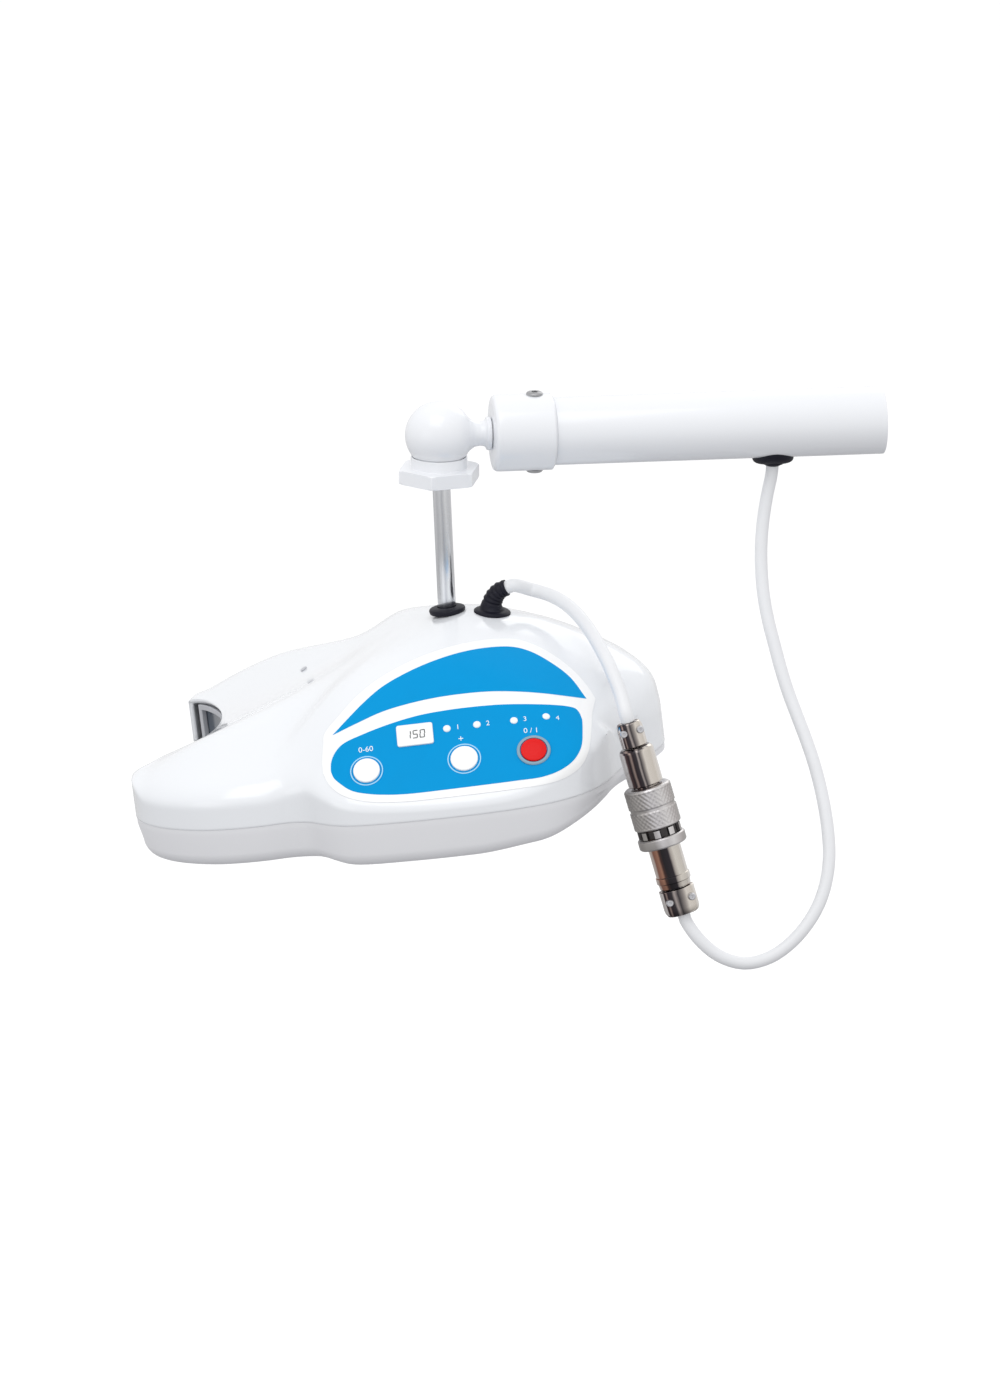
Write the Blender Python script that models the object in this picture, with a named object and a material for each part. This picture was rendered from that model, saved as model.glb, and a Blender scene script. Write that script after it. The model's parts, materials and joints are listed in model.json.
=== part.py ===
"""Teeth whitening lamp head on its arm: a tube with a ball joint, a hanging rod, and a
forked lamp head with a curved light window, a push-button panel and a cable connector.

Metres, +Z up. The origin is the centre of the arm tube's open end; the tube runs along X
and the head hangs below its other end. Lengths below are millimetres unless they say
otherwise, and MM turns them into metres.
"""
import bpy
import bmesh
import numpy as np
from math import sin, cos, tan, pi, radians, sqrt, asin, atan2
from mathutils import Matrix, Vector
from mathutils.bvhtree import BVHTree

MM = 0.001

# ---------------------------------------------------------------- driving dimensions
TUBE_OD, TUBE_ID, TUBE_LEN = 30.0, 26.4, 147.0
COLLAR_OD, COLLAR_LEN = 34.0, 25.2
BALL_X, BALL_R = -198.0, 15.0            # centre of the ball joint, radius of its housing
ROD_D = 8.0                              # the head hangs on this rod
HEAD_YAW, HEAD_PITCH = -19.0, 7.0        # degrees
HEAD_H = 86.5                            # head's height at the rod
ROD_TOP_X, ROD_TOP_Z = -194.58, -78.95   # where the rod's line meets the top of the head
WALL = 2.2                               # shell thickness
PARTING = 18.0                           # height of the line between the two shells
GAP = 0.3                                # clearance between pieces that touch
ARC_HALF_W, ARC_SAG, ARC_L = 56.0, 27.0, -111.0   # the light window's arc
PANEL_PHI, PANEL_BETA = radians(42), radians(10.5)
PANEL_P0 = (10.0, -97.0, 25.5)           # a point of the panel's plane, head frame
BUTTON_D, BUTTON_TRAVEL = 11.8, 1.0
CABLE_UP_D, CABLE_LOW_D = 6.0, 5.6
# three buttons, four indicator lights and the display, as (along, up) on the panel
BUTTONS = {"timer_button": (-31.6, 17.8, 6.9), "set_button": (11.2, 18.3, 7.7), "power_button": (41.6, 18.6, 7.3)}
LIGHTS = [(4.8, 34.0), (18.0, 34.3), (34.2, 34.2), (48.2, 35.5)]
DISPLAY = (-9.3, 32.6, 15.6, 10.0, radians(0.3))

for _o in list(bpy.data.objects):
    bpy.data.objects.remove(_o, do_unlink=True)


# ---------------------------------------------------------------- materials
def material(name, colour, rough, metal=0.0, alpha=1.0):
    m = bpy.data.materials.get(name) or bpy.data.materials.new(name)
    m.use_nodes = True
    b = m.node_tree.nodes["Principled BSDF"]
    b.inputs["Base Color"].default_value = (*colour, 1.0)
    b.inputs["Roughness"].default_value = rough
    b.inputs["Metallic"].default_value = metal
    b.inputs["Alpha"].default_value = alpha
    m.diffuse_color = (*colour, alpha)
    return m


M_PAINT = material("white_paint", (0.90, 0.90, 0.91), 0.3)
M_SHELL = material("white_shell", (0.92, 0.93, 0.95), 0.35)
M_LOWER = material("grey_white_shell", (0.84, 0.85, 0.87), 0.4)
M_CHROME = material("chrome", (0.75, 0.75, 0.76), 0.15, 1.0)
M_STEEL = material("steel", (0.55, 0.55, 0.57), 0.35, 1.0)
M_BLACKM = material("dark_steel", (0.10, 0.10, 0.11), 0.4, 1.0)
M_RUBBER = material("black_rubber", (0.02, 0.02, 0.025), 0.6)
M_NYLON = material("nylon", (0.80, 0.79, 0.74), 0.5)
M_BRASS = material("brass", (0.75, 0.60, 0.30), 0.3, 1.0)
M_NICKEL = material("nickel", (0.62, 0.59, 0.55), 0.25, 1.0)
M_CABLE = material("cable_grey", (0.85, 0.86, 0.88), 0.4)
M_BLUE = material("panel_blue", (0.0, 0.35, 0.82), 0.3)
M_WHITE = material("button_white", (0.92, 0.92, 0.92), 0.3)
M_RED = material("button_red", (0.80, 0.02, 0.02), 0.3)
M_FRAME = material("window_grey", (0.60, 0.62, 0.65), 0.4)
M_DARKGLASS = material("dark_lens", (0.05, 0.06, 0.08), 0.1, 0.0, 0.6)
M_CLEAR = material("clear_lens", (0.80, 0.85, 0.90), 0.1, 0.0, 0.5)
M_PCB = material("circuit_board", (0.02, 0.20, 0.08), 0.5)
M_ALU = material("aluminium", (0.70, 0.70, 0.72), 0.4, 1.0)
M_BLACKP = material("black_plastic", (0.03, 0.03, 0.03), 0.5)
M_LCD = material("lcd_grey", (0.70, 0.72, 0.70), 0.3)


# ---------------------------------------------------------------- frames
def frame(origin_mm, x, y, z):
    m = Matrix.Identity(4)
    for i, a in enumerate((x, y, z)):
        for k in range(3):
            m[k][i] = a[k]
    for k in range(3):
        m[k][3] = origin_mm[k] * MM
    return m


def unit(a):
    a = np.array(a, float)
    return a / np.linalg.norm(a)


_y, _p = radians(HEAD_YAW), radians(HEAD_PITCH)
HL = np.array([cos(_p) * cos(_y), cos(_p) * sin(_y), sin(_p)])   # towards the tail
HW = np.array([-sin(_y), cos(_y), 0.0])                         # across the head
HN = np.cross(HL, HW)                                           # up through the head
ROD_P = np.array([ROD_TOP_X, 0.0, ROD_TOP_Z])
BALL_C = np.array([BALL_X, 0.0, 0.0])
HEAD_O = ROD_P - HN * HEAD_H
ROD_AXIS = unit(BALL_C - ROD_P)
_rx = unit(np.cross([0, 1, 0], ROD_AXIS))
_ry = np.cross(ROD_AXIS, _rx)
T_WORLD = Matrix.Identity(4)
T_TUBE = frame((0, 0, 0), (0, 1, 0), (0, 0, 1), (1, 0, 0))       # local Z runs along +X
T_HEAD = frame(HEAD_O, HL, HW, HN)
T_ROD = frame(BALL_C, _rx, _ry, ROD_AXIS)                       # local Z up the rod
T_DOWN = frame(BALL_C, (1, 0, 0), (0, 1, 0), (0, 0, 1))
PN = np.array([cos(PANEL_PHI) * sin(PANEL_BETA), -cos(PANEL_PHI) * cos(PANEL_BETA), sin(PANEL_PHI)])
PA = np.array([cos(PANEL_BETA), sin(PANEL_BETA), 0.0])
PB = np.cross(PN, PA)
P0 = np.array(PANEL_P0)


def head_pt(l, w, z):
    return HEAD_O + HL * l + HW * w + HN * z


T_PANEL = T_HEAD @ frame(P0, PA, PB, PN)                        # local Z out of the panel

# ---------------------------------------------------------------- bodies (empties on the axes)
BODIES = {}


def body(name, world, parent=None):
    e = bpy.data.objects.new("axis_" + name, None)
    bpy.context.scene.collection.objects.link(e)
    e.empty_display_size = 0.02
    if parent:
        e.parent = BODIES[parent][0]
        e.matrix_local = BODIES[parent][1].inverted() @ world
    else:
        e.matrix_local = world
    BODIES[name] = (e, world)


T_SWIVEL = frame(ROD_P, _rx, _ry, ROD_AXIS)
body("arm", T_WORLD)
body("ball_housing", T_DOWN, "arm")
body("drop_rod", T_ROD, "ball_housing")
body("head", T_SWIVEL, "drop_rod")


def place(ob, body_name, world):
    e, w = BODIES[body_name]
    ob.parent = e
    ob.matrix_local = w.inverted() @ world
    return ob


# ---------------------------------------------------------------- mesh helpers
def signed_volume(v, faces):
    t = 0.0
    for f in faces:
        for i in range(1, len(f) - 1):
            a, b, c = v[f[0]], v[f[i]], v[f[i + 1]]
            t += float(np.dot(a, np.cross(b, c)))
    return t / 6


def make(name, verts, faces, mat, body_name, world, smooth=35.0, guide=False):
    v = np.array(verts, float) * MM
    if signed_volume(v, faces) < 0:
        faces = [tuple(reversed(f)) for f in faces]
    me = bpy.data.meshes.new(name)
    me.from_pydata([tuple(p) for p in v], [], [tuple(int(i) for i in f) for f in faces])
    me.update()
    ob = bpy.data.objects.new(name, me)
    bpy.context.scene.collection.objects.link(ob)
    if mat:
        me.materials.append(mat)
    if smooth:
        me.shade_smooth()
        me.set_sharp_from_angle(angle=radians(smooth))
    place(ob, body_name, world)
    if guide:
        ob.hide_render = True
        ob.display_type = "WIRE"
    return ob


def turned(profile, n=24, phase=0.0, closed=False, radius=None):
    """Solid of revolution about Z from (r, z) points. closed=True for a ring's loop.
    radius(r, angle) may change the radius round the turn, as for a hexagon or knurls."""
    verts, rings, faces = [], [], []
    for r, z in profile:
        if r < 1e-6:
            verts.append((0.0, 0.0, z))
            rings.append([len(verts) - 1])
        else:
            k = len(verts)
            for i in range(n):
                a = phase + 2 * pi * i / n
                rr = radius(r, a) if radius else r
                verts.append((rr * cos(a), rr * sin(a), z))
            rings.append(list(range(k, k + n)))
    pairs = list(zip(rings[:-1], rings[1:]))
    if closed:
        pairs.append((rings[-1], rings[0]))
    for a, b in pairs:
        for i in range(n):
            j = (i + 1) % n
            if len(a) == 1 and len(b) == 1:
                continue
            if len(a) == 1:
                faces.append((a[0], b[i], b[j]))
            elif len(b) == 1:
                faces.append((a[i], b[0], a[j]))
            else:
                faces.append((a[i], b[i], b[j], a[j]))
    return verts, faces


def boxed(x0, x1, y0, y1, z0, z1):
    v = [(x, y, z) for x in (x0, x1) for y in (y0, y1) for z in (z0, z1)]
    f = [(0, 1, 3, 2), (4, 6, 7, 5), (0, 4, 5, 1), (2, 3, 7, 6), (0, 2, 6, 4), (1, 5, 7, 3)]
    return v, f


def extruded(outline, z0, z1):
    n = len(outline)
    v = [(x, y, z0) for x, y in outline] + [(x, y, z1) for x, y in outline]
    f = [tuple(range(n))[::-1], tuple(range(n, 2 * n))]
    f += [(i, (i + 1) % n, n + (i + 1) % n, n + i) for i in range(n)]
    return v, f


def moved(part, world):
    """Points of a part taken through a matrix whose offset is in metres."""
    v, f = part
    out = []
    for p in v:
        q = world @ (Vector(p) * MM)
        out.append((q.x / MM, q.y / MM, q.z / MM))
    return out, f


def joined(*parts):
    v, f = [], []
    for pv, pf in parts:
        if signed_volume(np.array(pv, float), pf) < 0:
            pf = [tuple(reversed(q)) for q in pf]
        k = len(v)
        v += list(pv)
        f += [tuple(i + k for i in q) for q in pf]
    return v, f


def boolean(ob, cutter, operation="DIFFERENCE", solver="EXACT"):
    m = ob.modifiers.new(operation.lower(), "BOOLEAN")
    m.operation = operation
    m.solver = solver
    m.object = cutter
    return ob


def guide(name, part, body_name, world):
    return make(name, part[0], part[1], None, body_name, world, smooth=0, guide=True)


def spun(name, profile, mat, body_name, world, n=24, **kw):
    v, f = turned(profile, n, **kw)
    return make(name, v, f, mat, body_name, world)


def shift(world, x=0.0, y=0.0, z=0.0):
    return world @ Matrix.Translation((x * MM, y * MM, z * MM))


def catmull(points, count, end_flat=False):
    """Points evenly spread in parameter along a centripetal curve through the given points."""
    p = np.array(points, float)
    d = np.linalg.norm(np.diff(p, axis=0), axis=1) ** 0.5
    t = np.concatenate([[0], np.cumsum(d)])
    m = np.zeros_like(p)
    m[0] = (p[1] - p[0]) / (t[1] - t[0])
    m[-1] = (p[-1] - p[-2]) / (t[-1] - t[-2])
    for i in range(1, len(p) - 1):
        a = (p[i] - p[i - 1]) / (t[i] - t[i - 1])
        b = (p[i + 1] - p[i]) / (t[i + 1] - t[i])
        m[i] = (a * (t[i + 1] - t[i]) + b * (t[i] - t[i - 1])) / (t[i + 1] - t[i - 1])
    if end_flat:
        m[-1] = np.array([0.0, m[-1][1]])
    u = np.linspace(0, t[-1], count)
    i = np.clip(np.searchsorted(t, u) - 1, 0, len(p) - 2)
    h = (t[i + 1] - t[i])[:, None]
    s = (u[:, None] - t[i][:, None]) / h
    return (2 * s**3 - 3 * s**2 + 1) * p[i] + (s**3 - 2 * s**2 + s) * h * m[i] + (-2 * s**3 + 3 * s**2) * p[i + 1] + (s**3 - s**2) * h * m[i + 1]


def even(points, count):
    """The same curve with points an equal length apart."""
    p = catmull(points, 400)
    s = np.concatenate([[0], np.cumsum(np.linalg.norm(np.diff(p, axis=0), axis=1))])
    u = np.linspace(0, s[-1], count)
    return np.stack([np.interp(u, s, p[:, k]) for k in range(p.shape[1])], 1)


# ---------------------------------------------------------------- the head's form
# Plan outline of one half, from the fork's tip round the arm, waist and lobe to the rear.
SIDE = [(-138, 56), (-135.8, 66), (-130.5, 76), (-122, 84.5), (-111, 91), (-99, 95), (-88, 96), (-73, 94.5), (-61, 91.5), (-52, 92.5), (-45, 97), (-37, 101.5), (-28, 103.5), (-8, 102.5), (16, 99), (40, 93), (55.5, 86), (67, 75.5), (73.5, 62), (76, 50)]
REAR = [(76, 50), (77, 41), (79, 33), (83, 25.5), (86.7, 17), (89, 8), (90, 0)]
ARC_R = (ARC_HALF_W**2 + ARC_SAG**2) / (2 * ARC_SAG)
ARC_C = ARC_L - ARC_R
SPINE_L = [-200, 0, 10, 20, 29, 39, 48, 56, 64, 72, 78, 83, 90, 100]
SPINE_Z = [86.7, 86.5, 86, 84.4, 82, 79, 75.8, 72, 67.8, 63, 59, 55, 47, 36]
C_OUT = catmull(SIDE + REAR[1:], 260, True)
C_LOBE = catmull(SIDE + [(76, 40), (76.5, 20), (76.5, 0)], 200, True)
C_TAIL = catmull([(20, 46), (50, 43), (66, 40), (74, 37), (79, 32.5), (83, 26), (86.7, 17), (89, 8), (90, 0)], 120, True)
C_ARM = catmull([p for p in SIDE if p[0] < -60] + [(-45, 90), (-30, 88), (-10, 85), (20, 78), (50, 60), (70, 30), (75, 0)], 160, True)


def inside(curve, l, w):
    """Signed distance inside a plan curve; the object is symmetric about w = 0."""
    l = np.asarray(l, float)
    w = np.abs(np.asarray(w, float))
    shape = np.broadcast(l, w).shape
    p = np.stack([np.broadcast_to(l, shape).ravel(), np.broadcast_to(w, shape).ravel()], 1)
    a, b = curve[:-1], curve[1:] - curve[:-1]
    r = p[:, None, :] - a[None]
    t = np.clip((r * b).sum(2) / (b * b).sum(1), 0, 1)
    q = r - t[..., None] * b
    dd = np.hypot(q[..., 0], q[..., 1])
    k = dd.argmin(1)
    i = np.arange(len(p))
    cross = b[k, 0] * r[i, k, 1] - b[k, 1] * r[i, k, 0]
    return (dd[i, k] * np.where(cross <= 0, 1, -1)).reshape(shape)


def low(a, b, k):
    h = np.clip(0.5 + 0.5 * (b - a) / k, 0, 1)
    return b * (1 - h) + a * h - k * h * (1 - h)


def high(a, b, k):
    return -low(-a, -b, k)


def step(x):
    x = np.clip(x, 0, 1)
    return x * x * (3 - 2 * x)


def quarter(d, r):
    x = np.clip(1 - d / r, 0, 1)
    return np.sqrt(np.clip(1 - x * x, 0, 1)) + np.minimum(d, 0) * 0.5


def top_z(l, w):
    """Height of the head's upper surface at plan point (l, w)."""
    l = np.asarray(l, float)
    w = np.abs(np.asarray(w, float))
    d_out, d_arm = inside(C_OUT, l, w), inside(C_ARM, l, w)
    d_lobe, d_tail = inside(C_LOBE, l, w), inside(C_TAIL, l, w)
    cone = 39.5 + 0.43 * (np.hypot(l - ARC_C, w) - ARC_R)
    spine = np.interp(l + 0.2 * np.maximum(w - 4, 0), SPINE_L, SPINE_Z)
    dome = spine - 0.27 * (np.sqrt(w * w + 100) - 10) - 0.0016 * np.maximum(w - 25, 0) ** 2
    top = low(cone, dome, 8)
    arm = low(top, 33 + 3 * step((-128 - l) / 10) + 0.56 * d_arm, 6)
    plane = PANEL_P0[2] - (1 / tan(PANEL_PHI)) * (sin(PANEL_BETA) * (l - 10) + cos(PANEL_BETA) * (w - 97) + 0.0085 * np.maximum(-22 - l, 0) ** 2)
    front = 36 + 1.2 * (l + 72)
    rear = 30 + 0.5 * np.maximum(75 - w, 0) + 22 * quarter(d_lobe, 10) + (1 - np.clip((l - 30) / 20, 0, 1)) * 60
    lobe = low(low(low(top, plane, 9), rear, 5), front, 12)
    tail = np.where(l > 0, low(dome - 0.0035 * w * w, 37 + 24 * quarter(d_tail, 12), 4), -50)
    z = high(high(arm, lobe, 8), tail, 2.5)
    tip, lob = step((-126 - l) / 12), step((l + 60) / 20)
    h, r = 5 * (1 - tip) * (1 - 0.5 * lob) + 1.5 * tip, 8 * (1 - 0.45 * lob)
    x = np.clip(1 - d_out / r, 0, 1)
    return z - h * (1 - np.sqrt(np.clip(1 - x * x, 0, 1)))


def floor_z(l):
    l = np.asarray(l, float)
    return -2 * step((l + 50) / 20) * (1 - step((l - 20) / 30)) + 9 * step((l - 46) / 30)


NU, NW = 21, 15          # plan grid of the shells: along a side, and across


def side_loop(inset):
    """One half of the outline, moved in by inset. Its first point stays on the window's arc."""
    u = np.linspace(0, 1, 400)
    c = catmull(SIDE, 400)
    s = np.concatenate([[0], np.cumsum(np.hypot(*np.diff(c, axis=0).T))])
    uu = np.linspace(0, s[-1], NU)
    p = np.stack([np.interp(uu, s, c[:, 0]), np.interp(uu, s, c[:, 1])], 1)
    g = np.gradient(p, axis=0)
    n = np.stack([g[:, 1], -g[:, 0]], 1)
    n /= np.linalg.norm(n, axis=1, keepdims=True)
    th = asin(ARC_HALF_W / ARC_R)
    along = np.array([sin(th), -cos(th)])
    k = 1 - step(np.arange(NU) / 2.5)
    n = n * (1 - k[:, None]) + along * k[:, None]
    n /= np.linalg.norm(n, axis=1, keepdims=True)
    q = p + n * inset
    w0 = q[0, 1]
    q[0, 0] = ARC_C + sqrt(ARC_R**2 - w0**2)
    return q


def plan_grid(inset):
    """(l, w) grid that fills the outline: row 0 on the window's arc, the last on the rear."""
    c = side_loop(inset)
    x = np.linspace(-1, 1, NW)
    x = np.sign(x) * (1 - (1 - np.abs(x)) ** 1.35)
    rc = catmull(REAR, 120, True)
    rear_l = np.interp(np.abs(x) * 50, rc[::-1, 1], rc[::-1, 0]) - 76
    gl, gw = np.zeros((NU, NW)), np.zeros((NU, NW))
    for i in range(NU):
        t = i / (NU - 1)
        le, we = c[i]
        arc_end = ARC_C + sqrt(ARC_R**2 - c[0, 1] ** 2)
        ga = ARC_C + np.sqrt(ARC_R**2 - (x * c[0, 1]) ** 2) - arc_end
        b = step(t)
        gw[i] = x * we
        gl[i] = le + (1 - b) * ga + b * rear_l * (1 - inset / 60.0)
    return gl, gw


def rim_of(gl, gw):
    """Grid indices round the outline, from the far tip by the rear to the near tip."""
    idx = [(i, NW - 1) for i in range(NU)] + [(NU - 1, j) for j in range(NW - 2, -1, -1)] + [(i, 0) for i in range(NU - 2, -1, -1)]
    return idx


def skin(layers_top, rows):
    """Faces of a grid sheet plus wall rows that hang from its rim. rows: list of point lists."""
    gl, gw, gz = layers_top
    verts = [(gl[i, j], gw[i, j], gz[i, j]) for i in range(NU) for j in range(NW)]
    faces = [(i * NW + j, i * NW + j + 1, (i + 1) * NW + j + 1, (i + 1) * NW + j) for i in range(NU - 1) for j in range(NW - 1)]
    prev = [i * NW + j for i, j in rim_of(gl, gw)]
    for row in rows:
        k = len(verts)
        verts += [tuple(p) for p in row]
        cur = list(range(k, k + len(row)))
        faces += [(prev[i], cur[i], cur[i + 1], prev[i + 1]) for i in range(len(row) - 1)]
        prev = cur
    return verts, faces


def sheet_object(name, verts, faces, mat, outward_up):
    """An open skin in the head frame, thickened inwards by the wall."""
    v = np.array(verts, float) * MM
    me = bpy.data.meshes.new(name)
    me.from_pydata([tuple(p) for p in v], [], faces)
    me.update()
    if (sum(p.normal.z * p.area for p in me.polygons[: (NU - 1) * (NW - 1)]) > 0) != outward_up:
        bm = bmesh.new()
        bm.from_mesh(me)
        bmesh.ops.reverse_faces(bm, faces=bm.faces[:])
        bm.to_mesh(me)
        bm.free()
    ob = bpy.data.objects.new(name, me)
    bpy.context.scene.collection.objects.link(ob)
    me.materials.append(mat)
    me.shade_smooth()
    place(ob, "head", T_HEAD)
    s = ob.modifiers.new("wall", "SOLIDIFY")
    s.thickness = WALL * MM
    s.offset = -1.0
    s.use_even_offset = False
    return ob


GL, GW = plan_grid(0.0)
GZ = top_z(GL, GW)
RIM = rim_of(GL, GW)
TOP_RIM = np.array([(GL[a], GW[a], GZ[a]) for a in RIM])


def wall_rows(levels):
    return [[(p[0], p[1], z) for p in TOP_RIM] for z in levels]


upper = sheet_object("upper_shell", *skin((GL, GW, GZ), wall_rows([PARTING + 3.0, PARTING + GAP / 2])), M_SHELL, True)

# lower shell: floor grid, a rounded edge, and a drafted wall up to the parting line
DRAFT, EDGE = 2.2, 7.0
FL, FW = plan_grid(DRAFT + EDGE)
FZ = floor_z(FL)
LOW_ROWS = []
for ang in (35.0, 65.0, 90.0):
    a = radians(ang)
    gl, gw = plan_grid(DRAFT + EDGE * (1 - sin(a)))
    LOW_ROWS.append([(gl[q], gw[q], float(floor_z(FL[q])) + EDGE * (1 - cos(a))) for q in RIM])
for z in (PARTING - 4.0, PARTING - GAP / 2):
    LOW_ROWS.append([(GL[q], GW[q], z) for q in RIM])
lower = sheet_object("lower_shell", *skin((FL, FW, FZ), LOW_ROWS), M_LOWER, False)


_sv, _sf = skin((GL, GW, GZ), wall_rows([PARTING + 3.0, PARTING + GAP / 2]))
SKIN_TREE = BVHTree.FromPolygons([Vector(q) for q in _sv], _sf)


def skin_depth(s, t):
    """Where the head's surface lies along the panel's normal at panel point (s, t)."""
    base = P0 + PA * s + PB * t
    hit = SKIN_TREE.ray_cast(Vector(base + PN * 40), -Vector(PN))
    return 40.0 - hit[3]


def skin_slope(s, t, reach=4.0):
    """How fast that depth changes along the panel and up it."""
    return ((skin_depth(s + reach, t) - skin_depth(s - reach, t)) / (2 * reach), (skin_depth(s, t + reach) - skin_depth(s, t - reach)) / (2 * reach))


# ---------------------------------------------------------------- posts and openings of the shells
POSTS = [(-92.0, 58.0), (-92.0, -58.0), (56.0, 40.0), (56.0, -40.0)]
BRACKET_POSTS = [(0.0, -18.0), (0.0, 18.0)]
post_parts, lower_posts, upper_cuts, lower_cuts = [], [], [], []


def post(l, w, r, z0):
    """Post that hangs from the shell and ends inside its sloping wall."""
    v, f = turned([(0, z0), (r, z0), (r, z0 + 10), (0, z0 + 10)], 14)
    out = []
    for x, y, z in v:
        if z > z0 + 5:
            z = SKIN_TREE.ray_cast(Vector((l + x, w + y, 130.0)), Vector((0, 0, -1)))[0].z - 1.2
        out.append((l + x, w + y, z))
    return out, f



for (l, w) in POSTS:
    zf = float(floor_z(l))
    post_parts.append(post(l, w, 4.2, PARTING + 0.4))
    upper_cuts.append(([(l + x, w + y, z) for x, y, z in turned([(0, PARTING - 1), (1.9, PARTING - 1), (1.9, PARTING + 11), (0, PARTING + 11)], 12)[0]], turned([(0, 0), (1, 0), (1, 1), (0, 1)], 12)[1]))
    lower_posts.append(([(l + x, w + y, z) for x, y, z in turned([(0, zf + 1.0), (4.6, zf + 1.0), (4.6, PARTING - 0.4), (0, PARTING - 0.4)], 14)[0]], turned([(0, 0), (1, 0), (1, 1), (0, 1)], 14)[1]))
    lower_cuts.append(([(l + x, w + y, z) for x, y, z in turned([(0, zf - 4), (3.5, zf - 4), (3.5, zf + 4.2), (1.9, zf + 4.2), (1.9, PARTING + 1), (0, PARTING + 1)], 12)[0]], turned([(0, 0), (1, 0), (1, 1), (1, 2), (1, 3), (0, 3)], 12)[1]))
for (l, w) in BRACKET_POSTS:
    post_parts.append(post(l, w, 4.0, 66.9))
    upper_cuts.append(([(l + x, w + y, z) for x, y, z in turned([(0, 64), (1.8, 64), (1.8, 76), (0, 76)], 12)[0]], turned([(0, 0), (1, 0), (1, 1), (0, 1)], 12)[1]))
ROD_HOLE_R, BOOT_L, BOOT_HOLE_R = 5.9, 20.6, 4.4
upper_cuts.append(turned([(0, 76), (ROD_HOLE_R, 76), (ROD_HOLE_R, 92), (0, 92)], 18))
_b = turned([(0, 74), (BOOT_HOLE_R, 74), (BOOT_HOLE_R, 90), (0, 90)], 16)
upper_cuts.append(([(x + BOOT_L, y, z) for x, y, z in _b[0]], _b[1]))
T_PANEL_LOCAL = frame(P0, PA, PB, PN)
for name, (s, t, ring) in BUTTONS.items():
    d = skin_depth(s, t)
    upper_cuts.append(moved(turned([(0, d - 7), (BUTTON_D / 2 + 0.45, d - 7), (BUTTON_D / 2 + 0.45, d + 6), (0, d + 6)], 16), shift(T_PANEL_LOCAL, s, t)))
for (s, t) in LIGHTS:
    upper_cuts.append(moved(turned([(0, -7), (2.1, -7), (2.1, 5), (0, 5)], 8), shift(T_PANEL_LOCAL, s, t)))
_c, _s = cos(DISPLAY[4]), sin(DISPLAY[4])
_dx, _dy = DISPLAY[2] / 2, DISPLAY[3] / 2


def display_outline(grow):
    pts = [(-_dx - grow, -_dy - grow), (_dx + grow, -_dy - grow), (_dx + grow, _dy + grow), (-_dx - grow, _dy + grow)]
    return [(DISPLAY[0] + x * _c - y * _s, DISPLAY[1] + x * _s + y * _c) for x, y in pts]


upper_cuts.append(moved(extruded(display_outline(0.4), -7, 5), T_PANEL_LOCAL))
boolean(upper, guide("cut_upper_posts", joined(*post_parts), "head", T_HEAD), "UNION")
boolean(upper, guide("cut_upper", joined(*upper_cuts), "head", T_HEAD))
boolean(lower, guide("cut_lower_posts", joined(*lower_posts), "head", T_HEAD), "UNION")
boolean(lower, guide("cut_lower", joined(*lower_cuts), "head", T_HEAD))

# case screws come up through the lower shell's posts
for k, (l, w) in enumerate(POSTS):
    zf = float(floor_z(l))
    spun(f"case_screw_{k + 1}", [(0, zf + 1.2), (2.2, zf + 1.2), (3.1, zf + 2.0), (3.1, zf + 3.9), (1.55, zf + 3.9), (1.55, PARTING + 10), (0, PARTING + 10.6)], M_STEEL, "head", shift(T_HEAD, l, w), 10)

# ---------------------------------------------------------------- light window
ARC_END = 46.0


def arc_bar(r0, r1, half, z0, z1, n=12):
    """Bar bent round the window's arc. z0 and z1 may be functions of the angle in degrees."""
    th = np.linspace(-half, half, n)
    v, f = [], []
    for a in th:
        za = z0(a) if callable(z0) else z0
        zb = z1(a) if callable(z1) else z1
        for r, z in ((r0, za), (r1, za), (r1, zb), (r0, zb)):
            v.append((ARC_C + r * cos(radians(a)), r * sin(radians(a)), z))
    for i in range(n - 1):
        for k in range(4):
            f.append((4 * i + k, 4 * i + (k + 1) % 4, 4 * i + 4 + (k + 1) % 4, 4 * i + 4 + k))
    f += [(3, 2, 1, 0), (4 * n - 4, 4 * n - 3, 4 * n - 2, 4 * n - 1)]
    return v, f


def ceiling(a):
    return float(top_z(ARC_C + ARC_R * cos(radians(a)), ARC_R * sin(radians(a)))) - WALL - 0.9


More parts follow.
